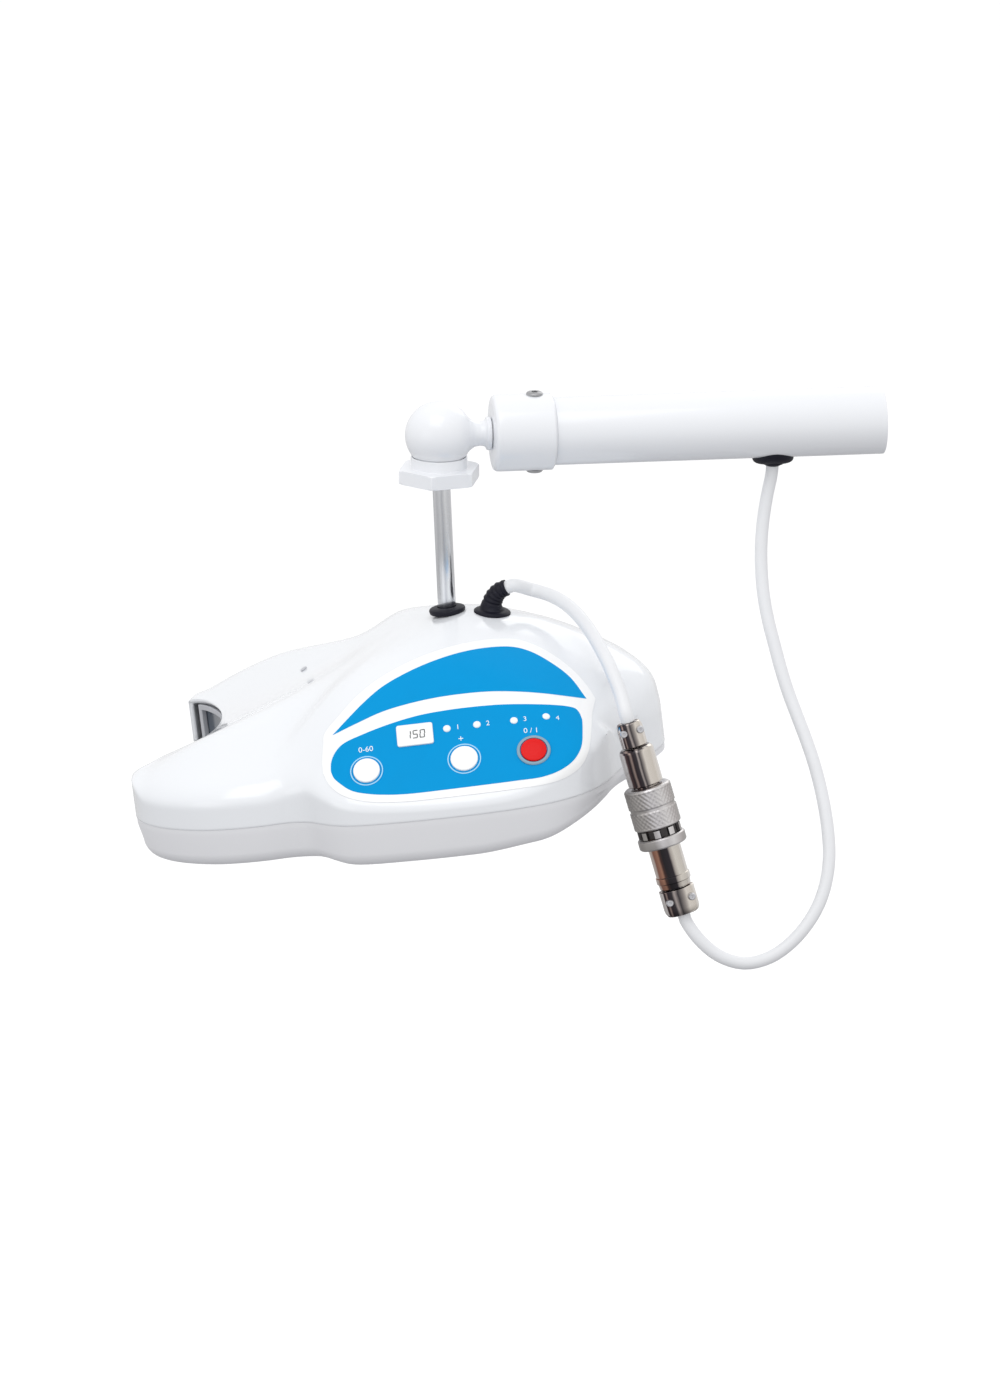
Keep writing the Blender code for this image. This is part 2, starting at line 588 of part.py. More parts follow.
def framed_arc(r0, r1, half, z0, top, border, n=12):
    """Window frame: a bent bar with one long opening through it, all in one body."""
    th = np.concatenate([[-half], np.linspace(-half + border / ARC_R * 57.3, half - border / ARC_R * 57.3, n), [half]])
    cols = len(th)
    v, idx = [], {}
    for i, a in enumerate(th):
        zt = top(a)
        for k, z in enumerate((z0, z0 + border, zt - border, zt)):
            for m, r in enumerate((r0, r1)):
                idx[i, k, m] = len(v)
                v.append((ARC_C + r * cos(radians(a)), r * sin(radians(a)), z))
    f = []

    def solid(i, k):
        return 0 <= i < cols - 1 and 0 <= k < 3 and not (k == 1 and 0 < i < cols - 2)

    for i in range(cols - 1):
        for k in range(3):
            if not solid(i, k):
                continue
            f.append((idx[i, k, 0], idx[i, k + 1, 0], idx[i + 1, k + 1, 0], idx[i + 1, k, 0]))
            f.append((idx[i, k, 1], idx[i + 1, k, 1], idx[i + 1, k + 1, 1], idx[i, k + 1, 1]))
            if not solid(i - 1, k):
                f.append((idx[i, k, 0], idx[i, k, 1], idx[i, k + 1, 1], idx[i, k + 1, 0]))
            if not solid(i + 1, k):
                f.append((idx[i + 1, k, 0], idx[i + 1, k + 1, 0], idx[i + 1, k + 1, 1], idx[i + 1, k, 1]))
            if not solid(i, k - 1):
                f.append((idx[i, k, 0], idx[i + 1, k, 0], idx[i + 1, k, 1], idx[i, k, 1]))
            if not solid(i, k + 1):
                f.append((idx[i, k + 1, 0], idx[i, k + 1, 1], idx[i + 1, k + 1, 1], idx[i + 1, k + 1, 0]))
    return v, f


make("window_frame", *framed_arc(ARC_R + 0.4, ARC_R + 3.2, ARC_END, WALL + 0.7, ceiling, 2.2), M_FRAME, "head", T_HEAD)
make("arc_lens", *arc_bar(ARC_R + 3.5, ARC_R + 5.7, ARC_END - 1.0, WALL + 1.2, lambda a: ceiling(a) - 0.5), M_DARKGLASS, "head", T_HEAD)
make("led_lens_strip", *arc_bar(ARC_R + 9.0, ARC_R + 11.0, 41, 9, 27, 10), M_CLEAR, "head", T_HEAD)
make("led_board", *arc_bar(ARC_R + 11.3, ARC_R + 12.9, 42, 5.5, 29.5, 10), M_PCB, "head", T_HEAD)


def finned():
    """Plan outline of the heat sink: a base that follows the arc, with fins behind it."""
    inner = [(ARC_R + 13.2, a) for a in np.linspace(-38, 38, 10)]
    outer = []
    fins = np.linspace(35, -35, 10)
    for k, a in enumerate(fins):
        outer += [(ARC_R + 17.0, a + 1.0), (ARC_R + 27.0, a + 0.85), (ARC_R + 27.0, a - 0.85), (ARC_R + 17.0, a - 1.0)]
    loop = inner + [(ARC_R + 17.0, 38)] + outer + [(ARC_R + 17.0, -38)]
    return [(ARC_C + r * cos(radians(a)), r * sin(radians(a))) for r, a in loop]


make("heat_sink", *extruded(finned(), 6.0, 29.0), M_ALU, "head", T_HEAD)
make("driver_board", *boxed(-66, -20, -32, 32, 6.0, 7.6), M_PCB, "head", T_HEAD)

# ---------------------------------------------------------------- panel
LABEL_EDGE = [(-49, 19.5), (-46.5, 13.0), (-41.5, 8.3), (-33, 5.4), (-22, 4.2), (-8, 3.8), (8, 3.8), (24, 4.0), (38, 4.4), (42.0, 5.2), (46.3, 7.4), (49.3, 11.5), (51.8, 17.5), (57.5, 26), (62.0, 35), (65.5, 43), (61.8, 52), (55.5, 60.3), (47.5, 67), (40, 71.2), (30, 73.0), (18, 72.6), (5, 70.4), (-8, 66), (-20, 60.2), (-30, 52.8), (-39, 44.6), (-45.5, 38.3), (-48.3, 32), (-49.3, 25)]


def label_sheet():
    """A thin sheet that follows the head's surface over the panel."""
    loop = catmull(LABEL_EDGE + LABEL_EDGE[:1], 49)[:-1]
    centre = np.array([9.0, 37.0])
    rings = [1.0, 0.85, 0.7, 0.5, 0.25]
    n = len(loop)
    v, f = [], []
    grids = []
    for side in (0.7, 1.2):
        idx = []
        for g in rings:
            row = []
            for p in loop:
                s, t = centre + (p - centre) * g
                q = P0 + PA * s + PB * t + PN * (skin_depth(s, t) + side)
                row.append(len(v))
                v.append(tuple(q))
            idx.append(row)
        q = P0 + PA * centre[0] + PB * centre[1] + PN * (skin_depth(centre[0], centre[1]) + side)
        v.append(tuple(q))
        idx.append([len(v) - 1])
        grids.append(idx)
    for side, idx in enumerate(grids):
        for a, b in zip(idx[:-1], idx[1:]):
            for i in range(n):
                j = (i + 1) % n
                q = (a[i], a[j], b[j], b[i]) if len(b) > 1 else (a[i], a[j], b[0])
                f.append(q if side else tuple(reversed(q)))
    lo_, hi_ = grids[0][0], grids[1][0]
    for i in range(n):
        j = (i + 1) % n
        f.append((lo_[i], lo_[j], hi_[j], hi_[i]))
    return v, f


label = make("label_panel", *label_sheet(), M_BLUE, "head", T_HEAD)
label_cuts = []
for name, (s, t, ring) in BUTTONS.items():
    d = skin_depth(s, t)
    label_cuts.append(moved(turned([(0, d - 4), (BUTTON_D / 2 + 0.45, d - 4), (BUTTON_D / 2 + 0.45, d + 4), (0, d + 4)], 16), shift(T_PANEL_LOCAL, s, t)))
for (s, t) in LIGHTS:
    label_cuts.append(moved(turned([(0, -4), (2.1, -4), (2.1, 4), (0, 4)], 8), shift(T_PANEL_LOCAL, s, t)))
label_cuts.append(moved(extruded(display_outline(0.4), -4, 4), T_PANEL_LOCAL))
boolean(label, guide("cut_label", joined(*label_cuts), "head", T_HEAD), solver="MANIFOLD")

BOARD_TOP = -16.2
for k, (name, (s, t, ring)) in enumerate(BUTTONS.items()):
    d = skin_depth(s, t)
    here = shift(T_PANEL, s, t)
    r = BUTTON_D / 2
    side = name.split("_")[0]
    gx, gy = skin_slope(s, t)
    under = d - (6.6 if d < -1 else 4.6)
    v, f = turned([(0, -11.4), (2.4, -11.4), (2.4, under - 1), (r + 1.1, under - 1), (r + 1.1, under), (r, under), (r, d + 2.3), (r - 0.5, d + 2.9), (r - 1.6, d + 3.2), (0, d + 3.4)], 16)
    v = [(x, y, z + (gx * x + gy * y if z > -11.3 else 0.0)) for x, y, z in v]
    make(name, v, f, M_RED if name == "power_button" else M_WHITE, "head", here)
    v, f = turned([(r + 0.5, 1.5), (ring, 1.5), (ring, 1.8), (ring - 0.35, 2.1), (r + 0.5, 2.1)], 16, closed=True)
    v = [(x, y, z + d + gx * x + gy * y) for x, y, z in v]
    make(f"{side}_bezel", v, f, M_WHITE, "head", here)
    sw = joined(boxed(-3, 3, -3, 3, BOARD_TOP + GAP, BOARD_TOP + 3.4))
    make(f"{side}_switch", *sw, M_BLACKP, "head", here)
for k, (s, t) in enumerate(LIGHTS):
    d = skin_depth(s, t)
    spun(f"indicator_light_{k + 1}", [(0, BOARD_TOP + GAP), (1.65, BOARD_TOP + GAP), (1.65, d + 1.4), (1.2, d + 1.9), (0, d + 2.1)], M_CLEAR, "head", shift(T_PANEL, s, t), 10)
make("display_window", *extruded(display_outline(0.0), -2.6, 2.1), M_CLEAR, "head", T_PANEL)
make("display_module", *extruded(display_outline(-0.3), BOARD_TOP + GAP, -3.0), M_LCD, "head", T_PANEL)
make("control_board", *boxed(-40, 53, 11, 42, BOARD_TOP - 1.6, BOARD_TOP), M_PCB, "head", T_PANEL)

# ---------------------------------------------------------------- rod, bracket, grommets in the head
T_TOP = T_HEAD
spun("rod_grommet", [(4.85, 82.0), (5.5, 82.0), (5.5, 86.9), (7.7, 86.9), (7.7, 87.7), (6.9, 88.6), (5.2, 89.0), (4.85, 89.0)], M_RUBBER, "head", T_TOP, 16, closed=True)
br = make("rod_bracket", *extruded([(-9, -25), (-5, -27), (5, -27), (9, -25), (9, 25), (5, 27), (-5, 27), (-9, 25)], 64.0, 66.5), M_STEEL, "head", T_HEAD)
_k = [turned([(0, 62), (7.4, 62), (7.4, 69), (0, 69)], 20)]
_k[0] = ([(x - 1.8, y + 0.3, z) for x, y, z in _k[0][0]], _k[0][1])
for l, w in BRACKET_POSTS:
    a = turned([(0, 62), (1.9, 62), (1.9, 69), (0, 69)], 12)
    _k.append(([(x + l, y + w, z) for x, y, z in a[0]], a[1]))
boolean(br, guide("cut_bracket", joined(*_k), "head", T_HEAD))
for k, (l, w) in enumerate(BRACKET_POSTS):
    spun(f"bracket_screw_{k + 1}", [(0, 61.4), (2.4, 61.4), (3.0, 62.0), (3.0, 63.7), (1.5, 63.7), (1.5, 74.5), (0, 75.0)], M_STEEL, "head", shift(T_HEAD, l, w), 10)
ROD_LEN_TO_HEAD = float(np.linalg.norm(BALL_C - ROD_P))
zr = -ROD_LEN_TO_HEAD
spun("swivel_bush", [(4.3, zr - 26.2), (9.4, zr - 26.2), (9.4, zr - 24.0), (6.7, zr - 24.0), (6.7, zr - 16.5), (4.3, zr - 16.5)], M_BRASS, "head", T_ROD, 16, closed=True)
spun("rod_retaining_ring", [(4.0 + 0.3, zr - 29.6), (7.6, zr - 29.6), (7.6, zr - 26.7), (4.3, zr - 26.7)], M_STEEL, "drop_rod", T_ROD, 16, closed=True)

# strain relief: a flange on the shell, then a tapering boot that bends over to the rear
BOOT_PATH = [(0, 0), (1.0, 2.2), (2.8, 4.4), (5.0, 5.9), (7.4, 6.6)]


def swept(path, radii, n=12):
    """Round solid along a path in the plane w = 0, with flat ends square to it."""
    p = np.array(path, float)
    v, rings = [], []
    for i, (x, z) in enumerate(p):
        a = p[min(i + 1, len(p) - 1)] - p[max(i - 1, 0)]
        a = a / np.linalg.norm(a)
        nrm = np.array([a[1], -a[0]])
        rings.append(list(range(len(v), len(v) + n)))
        for k in range(n):
            t = 2 * pi * k / n
            v.append((x + nrm[0] * radii[i] * cos(t), radii[i] * sin(t), z + nrm[1] * radii[i] * cos(t)))
    f = [tuple(rings[0]), tuple(reversed(rings[-1]))]
    for a, b in zip(rings[:-1], rings[1:]):
        f += [(a[k], b[k], b[(k + 1) % n], a[(k + 1) % n]) for k in range(n)]
    return v, f


BOOT_Z = 85.6
_stem = turned([(0, 78.5), (4.0, 78.5), (4.0, BOOT_Z + 1.0), (0, BOOT_Z + 1.0)], 14)
_cap = turned([(0, BOOT_Z), (7.8, BOOT_Z), (7.8, BOOT_Z + 0.9), (5.4, BOOT_Z + 2.6), (0, BOOT_Z + 2.6)], 16)
_curve = catmull(BOOT_PATH, 7)
_boot = swept([(x, z + BOOT_Z + 1.6) for x, z in _curve], np.linspace(4.8, 3.3, 7), 12)
relief = make("strain_relief", *_cap, M_RUBBER, "head", shift(T_HEAD, BOOT_L))
boolean(relief, guide("cut_relief_stem", _stem, "head", shift(T_HEAD, BOOT_L)), "UNION")
boolean(relief, guide("cut_relief_boot", _boot, "head", shift(T_HEAD, BOOT_L)), "UNION")
_tip = np.array([_curve[-1][0] + BOOT_L, 0.0, _curve[-1][1] + BOOT_Z + 1.6])
_dir = unit(np.array([_curve[-1][0] - _curve[-2][0], 0.0, _curve[-1][1] - _curve[-2][1]]))
CABLE_UP_START = head_pt(*(_tip + _dir * 0.35))
CABLE_UP_DIR = HL * _dir[0] + HN * _dir[2]

# ---------------------------------------------------------------- rod and ball joint
INNER_BALL_R = 9.8
_ball = [(0, INNER_BALL_R)] + [(INNER_BALL_R * sin(a), INNER_BALL_R * cos(a)) for a in np.linspace(0, pi - asin(4.0 / INNER_BALL_R), 10)[1:]]
spun("drop_rod", _ball + [(4.0, -ROD_LEN_TO_HEAD - 31.5), (3.2, -ROD_LEN_TO_HEAD - 32.5), (0, -ROD_LEN_TO_HEAD - 32.5)], M_CHROME, "drop_rod", T_ROD, 18)

# housing: the visible ball, with a stem along +X into the collar and a cavity open below
_sph = [(BALL_R * sin(a), -BALL_R * cos(a)) for a in np.linspace(0, pi - asin(5.7 / BALL_R), 11)]
_sph[0] = (0, -BALL_R)
STEM = _sph + [(5.7, 21.2), (6.4, 22.4), (6.0, 22.9), (6.0, 63.2), (5.0, 63.6), (5.0, 71.5), (0, 72.0)]
housing = spun("ball_housing", STEM, M_PAINT, "ball_housing", T_DOWN @ Matrix(((0, 0, 1, 0), (0, 1, 0, 0), (-1, 0, 0, 0), (0, 0, 0, 1))), 20)
_cav = [(0, 10.3)] + [(10.3 * sin(a), 10.3 * cos(a)) for a in np.linspace(0, pi / 2, 6)[1:]] + [(10.3, -16), (0, -16)]
boolean(housing, guide("cut_cavity", turned(_cav, 18), "ball_housing", T_DOWN))


def hexagon(r, a):
    """Radius of a six-sided bar whose corners reach r."""
    k = (a - radians(-24)) % (pi / 3) - pi / 6
    return r * cos(pi / 6) / cos(k) if r > 15 else r


NUT_R = 18.9
spun("clamp_nut", [(7.9, -8.4), (9.9, -8.4), (9.9, -11.5), (10.6, -11.1), (12.2, -9.3), (12.35, -9.3), (12.35, -14.3), (17.6, -14.3), (NUT_R, -15.1), (NUT_R, -20.7), (13.1, -20.7)], M_PAINT, "ball_housing", T_DOWN, 18, phase=radians(-24), closed=True, radius=hexagon)
spun("ball_seat", [(7.8, -8.1), (9.8, -8.1), (9.8, -2.6), (9.75, -2.6)], M_NYLON, "ball_housing", T_DOWN, 16, closed=True)
_nut = turned([(5.3, 63.9), (9.4, 63.9), (9.4, 69.5), (5.3, 69.5)], 12, closed=True)
make("stem_nut", *_nut, M_STEEL, "ball_housing", T_DOWN @ Matrix(((0, 0, 1, 0), (0, 1, 0, 0), (-1, 0, 0, 0), (0, 0, 0, 1))))

# ---------------------------------------------------------------- arm
tube = spun("arm_tube", [(TUBE_ID / 2, 0), (TUBE_OD / 2, 0), (TUBE_OD / 2, -TUBE_LEN), (TUBE_ID / 2, -TUBE_LEN)], M_PAINT, "arm", T_TUBE, 32, closed=True)
GROMMET_X = -49.0
boolean(tube, guide("cut_tube", turned([(0, -22), (5.6, -22), (5.6, -4), (0, -4)], 14), "arm", shift(T_WORLD, GROMMET_X)))
CX = -TUBE_LEN - GAP
collar = spun("tube_collar", [(6.3, CX - 27.5), (12.0, CX - 27.4), (15.2, CX - 26.7), (16.6, CX - 25.2), (17.0, CX - 23.2), (17.0, CX), (12.9, CX), (12.9, CX + 12.3), (6.3, CX + 12.3)], M_PAINT, "arm", T_TUBE, 24, closed=True)
SCREW_X = -155.6
boolean(collar, guide("cut_collar", joined(turned([(0, 10.5), (2.3, 10.5), (2.3, 20), (0, 20)], 12), turned([(0, -20), (2.3, -20), (2.3, -10.5), (0, -10.5)], 12)), "arm", shift(T_WORLD, SCREW_X)))
_scr = [(0, 10.8), (2.0, 10.8), (2.0, 17.3), (3.7, 17.3), (3.7, 18.6), (3.0, 19.3), (0, 19.5)]
spun("collar_screw_top", _scr, M_BLACKM, "arm", shift(T_WORLD, SCREW_X), 10)
spun("collar_screw_bottom", [(r, -z) for r, z in _scr], M_BLACKM, "arm", shift(T_WORLD, SCREW_X), 10)
_dome = turned([(0, -8.5), (9.2, -8.5), (9.2, -16.6), (7.6, -18.4), (4.3, -19.3), (0, -19.3)], 16)
gr = make("cable_grommet", *_dome, M_RUBBER, "arm", shift(T_WORLD, GROMMET_X))
boolean(gr, guide("cut_saddle", turned([(0, -30), (TUBE_OD / 2 + GAP + 0.1, -30), (TUBE_OD / 2 + GAP + 0.1, 30), (0, 30)], 32), "arm", shift(T_WORLD, GROMMET_X) @ Matrix(((0, 0, 1, 0), (0, 1, 0, 0), (-1, 0, 0, 0), (0, 0, 0, 1)))))
boolean(gr, guide("cut_neck", turned([(0, -11), (5.2, -11), (5.2, -17.5), (0, -17.5)], 12), "arm", shift(T_WORLD, GROMMET_X)), "UNION")

# ---------------------------------------------------------------- connector between the two cables
CON_TOP, CON_BOTTOM = np.array([-126.98, -88.64, -108.88]), np.array([-103.95, -100.50, -193.23])
CON_Z = unit(CON_TOP - CON_BOTTOM)
_cy = unit(np.cross(CON_Z, [1, 0, 0]))
CON_X = np.cross(_cy, CON_Z)
T_CON = frame(CON_TOP, CON_X, _cy, CON_Z)      # local Z points at the upper cable


def knurl(r, a):
    return r - (0.6 if (round(a / (2 * pi / 24)) % 2) else 0.0) if r > 9.9 else r


body("coupling_nut", T_CON, "drop_rod")


def saddle(z0, z1, hx, hy):
    c = 1.6
    pts = [(-hx + c, -hy), (hx - c, -hy), (hx, -hy + c), (hx, hy - c), (hx - c, hy), (-hx + c, hy), (-hx, hy - c), (-hx, -hy + c)]
    return extruded(pts, z0, z1)


make("cable_clamp_upper", *saddle(-10.9, 0.0, 6.4, 4.9), M_NICKEL, "drop_rod", T_CON)
spun("plug_barrel", [(0, -28.9), (4.7, -28.9), (4.7, -45.0), (5.6, -45.0), (5.6, -28.6), (7.0, -28.6), (7.7, -28.0), (7.7, -12.2), (7.0, -11.3), (0, -11.3)], M_NICKEL, "drop_rod", T_CON, 16)
spun("contact_insert", [(0, -44.4), (4.3, -44.4), (4.3, -29.3), (0, -29.3)], M_BLACKP, "drop_rod", T_CON, 12)
spun("coupling_nut", [(8.2, -29.4), (9.8, -29.4), (10.5, -30.2), (10.5, -47.0), (9.8, -47.8), (8.2, -47.8)], M_NICKEL, "coupling_nut", T_CON, 24, closed=True, radius=knurl)
spun("lock_ring", [(7.7, -48.3), (9.2, -48.3), (9.2, -51.5), (7.7, -51.5)], M_BLACKM, "drop_rod", T_CON, 16, closed=True)
spun("receptacle_ring", [(7.7, -51.8), (10.7, -51.8), (10.7, -56.4), (7.7, -56.4)], M_NICKEL, "drop_rod", T_CON, 16, closed=True)
spun("receptacle_barrel", [(0, -75.9), (6.6, -75.9), (7.1, -75.2), (7.1, -73.0), (7.6, -72.6), (7.6, -70.2), (7.1, -69.8), (7.1, -57.0), (7.35, -56.8), (7.35, -36.0), (6.0, -36.0), (6.0, -46.6), (0, -46.6)], M_NICKEL, "drop_rod", T_CON, 16)
CON_LEN = float(np.linalg.norm(CON_TOP - CON_BOTTOM))
make("cable_clamp_lower", *saddle(-CON_LEN, -76.2, 7.4, 5.2), M_NICKEL, "drop_rod", T_CON)
for k, (x, z, hy) in enumerate([(-4.0, -5.4, 4.9), (4.0, -5.4, 4.9), (-4.6, -82.0, 5.2), (4.6, -82.0, 5.2)]):
    at = shift(T_CON, x, -hy, z) @ Matrix(((1, 0, 0, 0), (0, 0, -1, 0), (0, 1, 0, 0), (0, 0, 0, 1)))
    spun(f"clamp_screw_{k + 1}", [(0, GAP), (1.7, GAP), (1.7, 1.2), (1.2, 1.6), (0, 1.7)], M_STEEL, "drop_rod", at, 10)


# ---------------------------------------------------------------- cables
def cable(name, points_mm, count, diameter, mat, body_name):
    p = np.vstack([[points_mm[0]], even(points_mm[1:-1], count - 2), [points_mm[-1]]])
    cu = bpy.data.curves.new(name, "CURVE")
    cu.dimensions = "3D"
    cu.bevel_depth = diameter / 2 * MM
    cu.bevel_resolution = 2
    cu.use_fill_caps = True
    sp = cu.splines.new("POLY")
    sp.points.add(count - 1)
    for i, q in enumerate(p):
        sp.points[i].co = (q[0] * MM, q[1] * MM, q[2] * MM, 1.0)
    cu.materials.append(mat)
    ob = bpy.data.objects.new(name, cu)
    bpy.context.scene.collection.objects.link(ob)
    place(ob, body_name, T_WORLD)
    return ob


_a = CABLE_UP_START
CON_IN = CON_TOP + CON_Z * 0.4
CON_OUT = CON_BOTTOM - CON_Z * 0.4
UPPER_ROUTE = [_a, _a + CABLE_UP_DIR * 3.0, (-156.1, -6.1, -70.9), (-149.9, -12.9, -71.6), (-144.7, -21.2, -73.2), (-140.6, -31.0, -75.9), (-137.4, -41.5, -79.3), (-135.0, -52.5, -83.1), (-132.6, -64.5, -87.9), (-130.6, -74.5, -93.6), (-128.6, -82.8, -100.6), CON_IN + CON_Z * 3.0, CON_IN]
LOWER_ROUTE = [(-49.2, 0.0, -19.7), (-49.5, -0.3, -22.7), (-53.8, -6.4, -39.0), (-56.2, -13.5, -56.8), (-55.9, -23.1, -76.2), (-52.9, -33.1, -93.3), (-49.6, -42.3, -108.1), (-45.2, -52.2, -122.1), (-41.2, -61.4, -134.8), (-38.2, -71.2, -149.4), (-36.9, -81.7, -165.2), (-38.3, -90.6, -179.8), (-44.4, -98.4, -194.1), (-55.4, -104.4, -206.2), (-67.2, -107.5, -213.2), (-79.2, -108.2, -214.9), (-90.6, -106.8, -210.6), (-98.6, -104.0, -203.2), CON_OUT - CON_Z * 3.0, CON_OUT]
cable("upper_cable", UPPER_ROUTE, 14, CABLE_UP_D, M_CABLE, "head")
cable("lower_cable", LOWER_ROUTE, 28, CABLE_LOW_D, M_CABLE, "arm")
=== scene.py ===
"""Looks of the teeth whitening lamp: fine surfaces, materials, studio and camera.

Lengths are millimetres in the pieces' own frames and become metres in place(). The head's
frame has L towards its tail, W across it and N up through it, as in the CAD.
"""
import json
import bpy
import bmesh
import numpy as np
from math import sin, cos, tan, pi, radians, degrees, sqrt, asin, acos, atan2
from mathutils import Matrix, Vector
from mathutils.bvhtree import BVHTree

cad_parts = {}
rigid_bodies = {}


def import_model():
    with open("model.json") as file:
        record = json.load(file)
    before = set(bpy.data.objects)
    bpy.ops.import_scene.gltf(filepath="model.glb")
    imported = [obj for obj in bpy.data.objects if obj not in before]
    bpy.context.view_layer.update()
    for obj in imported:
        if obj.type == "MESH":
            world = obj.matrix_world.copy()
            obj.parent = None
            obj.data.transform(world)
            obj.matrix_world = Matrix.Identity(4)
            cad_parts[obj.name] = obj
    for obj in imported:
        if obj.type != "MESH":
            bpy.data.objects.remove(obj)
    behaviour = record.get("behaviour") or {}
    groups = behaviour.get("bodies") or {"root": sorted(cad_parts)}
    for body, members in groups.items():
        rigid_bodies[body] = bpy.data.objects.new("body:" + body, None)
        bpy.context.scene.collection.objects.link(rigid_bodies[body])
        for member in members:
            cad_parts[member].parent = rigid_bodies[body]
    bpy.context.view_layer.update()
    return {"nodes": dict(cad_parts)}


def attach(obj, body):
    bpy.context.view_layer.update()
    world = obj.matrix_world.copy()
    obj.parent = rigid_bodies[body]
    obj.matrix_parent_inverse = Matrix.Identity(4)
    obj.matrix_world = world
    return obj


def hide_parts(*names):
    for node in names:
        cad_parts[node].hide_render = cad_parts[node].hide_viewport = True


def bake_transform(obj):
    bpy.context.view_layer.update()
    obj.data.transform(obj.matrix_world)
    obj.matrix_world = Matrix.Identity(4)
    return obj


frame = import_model()
MM = 0.001

# ------------------------------------------------------------------ frames
def unit(a):
    a = np.array(a, float)
    return a / np.linalg.norm(a)


def frame_of(origin_mm, x, y, z):
    m = Matrix.Identity(4)
    for i, a in enumerate((x, y, z)):
        for k in range(3):
            m[k][i] = float(a[k])
    for k in range(3):
        m[k][3] = float(origin_mm[k]) * MM
    return m


yaw, pitch = radians(-19.0), radians(7.0)
HL = np.array([cos(pitch) * cos(yaw), cos(pitch) * sin(yaw), sin(pitch)])
HW = np.array([-sin(yaw), cos(yaw), 0.0])
HN = np.cross(HL, HW)
BALL_C = np.array([-198.0, 0.0, 0.0])
ROD_P = np.array([-194.58, 0.0, -78.95])
HEAD_O = ROD_P - HN * 86.5
ROD_AXIS = unit(BALL_C - ROD_P)
_rx = unit(np.cross([0, 1, 0], ROD_AXIS))
_ry = np.cross(ROD_AXIS, _rx)
ROD_LEN = float(np.linalg.norm(BALL_C - ROD_P))
WORLD = Matrix.Identity(4)
T_TUBE = frame_of((0, 0, 0), (0, 1, 0), (0, 0, 1), (1, 0, 0))
T_HEAD = frame_of(HEAD_O, HL, HW, HN)
T_ROD = frame_of(BALL_C, _rx, _ry, ROD_AXIS)
T_BALL = frame_of(BALL_C, (1, 0, 0), (0, 1, 0), (0, 0, 1))
T_STEM = frame_of(BALL_C, (0, 1, 0), (0, 0, 1), (1, 0, 0))
PHI, BETA = radians(42), radians(10.5)
PN = np.array([cos(PHI) * sin(BETA), -cos(PHI) * cos(BETA), sin(PHI)])
PA = np.array([cos(BETA), sin(BETA), 0.0])
PB = np.cross(PN, PA)
P0 = np.array([10.0, -97.0, 25.5])
CON_TOP, CON_BOTTOM = np.array([-126.98, -88.64, -108.88]), np.array([-103.95, -100.50, -193.23])
CON_Z = unit(CON_TOP - CON_BOTTOM)
_cy = unit(np.cross(CON_Z, [1, 0, 0]))
CON_X = np.cross(_cy, CON_Z)
T_CON = frame_of(CON_TOP, CON_X, _cy, CON_Z)


def head_pt(l, w, z):
    return HEAD_O + HL * l + HW * w + HN * z


def shift(world, x=0.0, y=0.0, z=0.0):
    return world @ Matrix.Translation((x * MM, y * MM, z * MM))


# ------------------------------------------------------------------ camera: 4 m away, long lens
AZ, EL, DIST, PIX = radians(7.9), radians(16.0), 4000.0, 0.44
CV = np.array([cos(EL) * sin(AZ), cos(EL) * cos(AZ), -sin(EL)])
CR = np.array([cos(AZ), -sin(AZ), 0.0])
CU = np.cross(CR, CV)
CAM = BALL_C - DIST * CV - (439 - 500) * PIX * CR - (700 - 435) * PIX * CU
cam_data = bpy.data.cameras.new("view")
cam_data.sensor_fit = "VERTICAL"
cam_data.sensor_height = 36.0
cam_data.lens = DIST / PIX / 1400 * 36.0
cam_data.clip_start, cam_data.clip_end = 0.1, 30.0
cam = bpy.data.objects.new("view", cam_data)
bpy.context.scene.collection.objects.link(cam)
cam.matrix_world = frame_of(CAM, CR, CU, -CV)
bpy.context.scene.camera = cam
bpy.context.scene.view_settings.view_transform = "Standard"


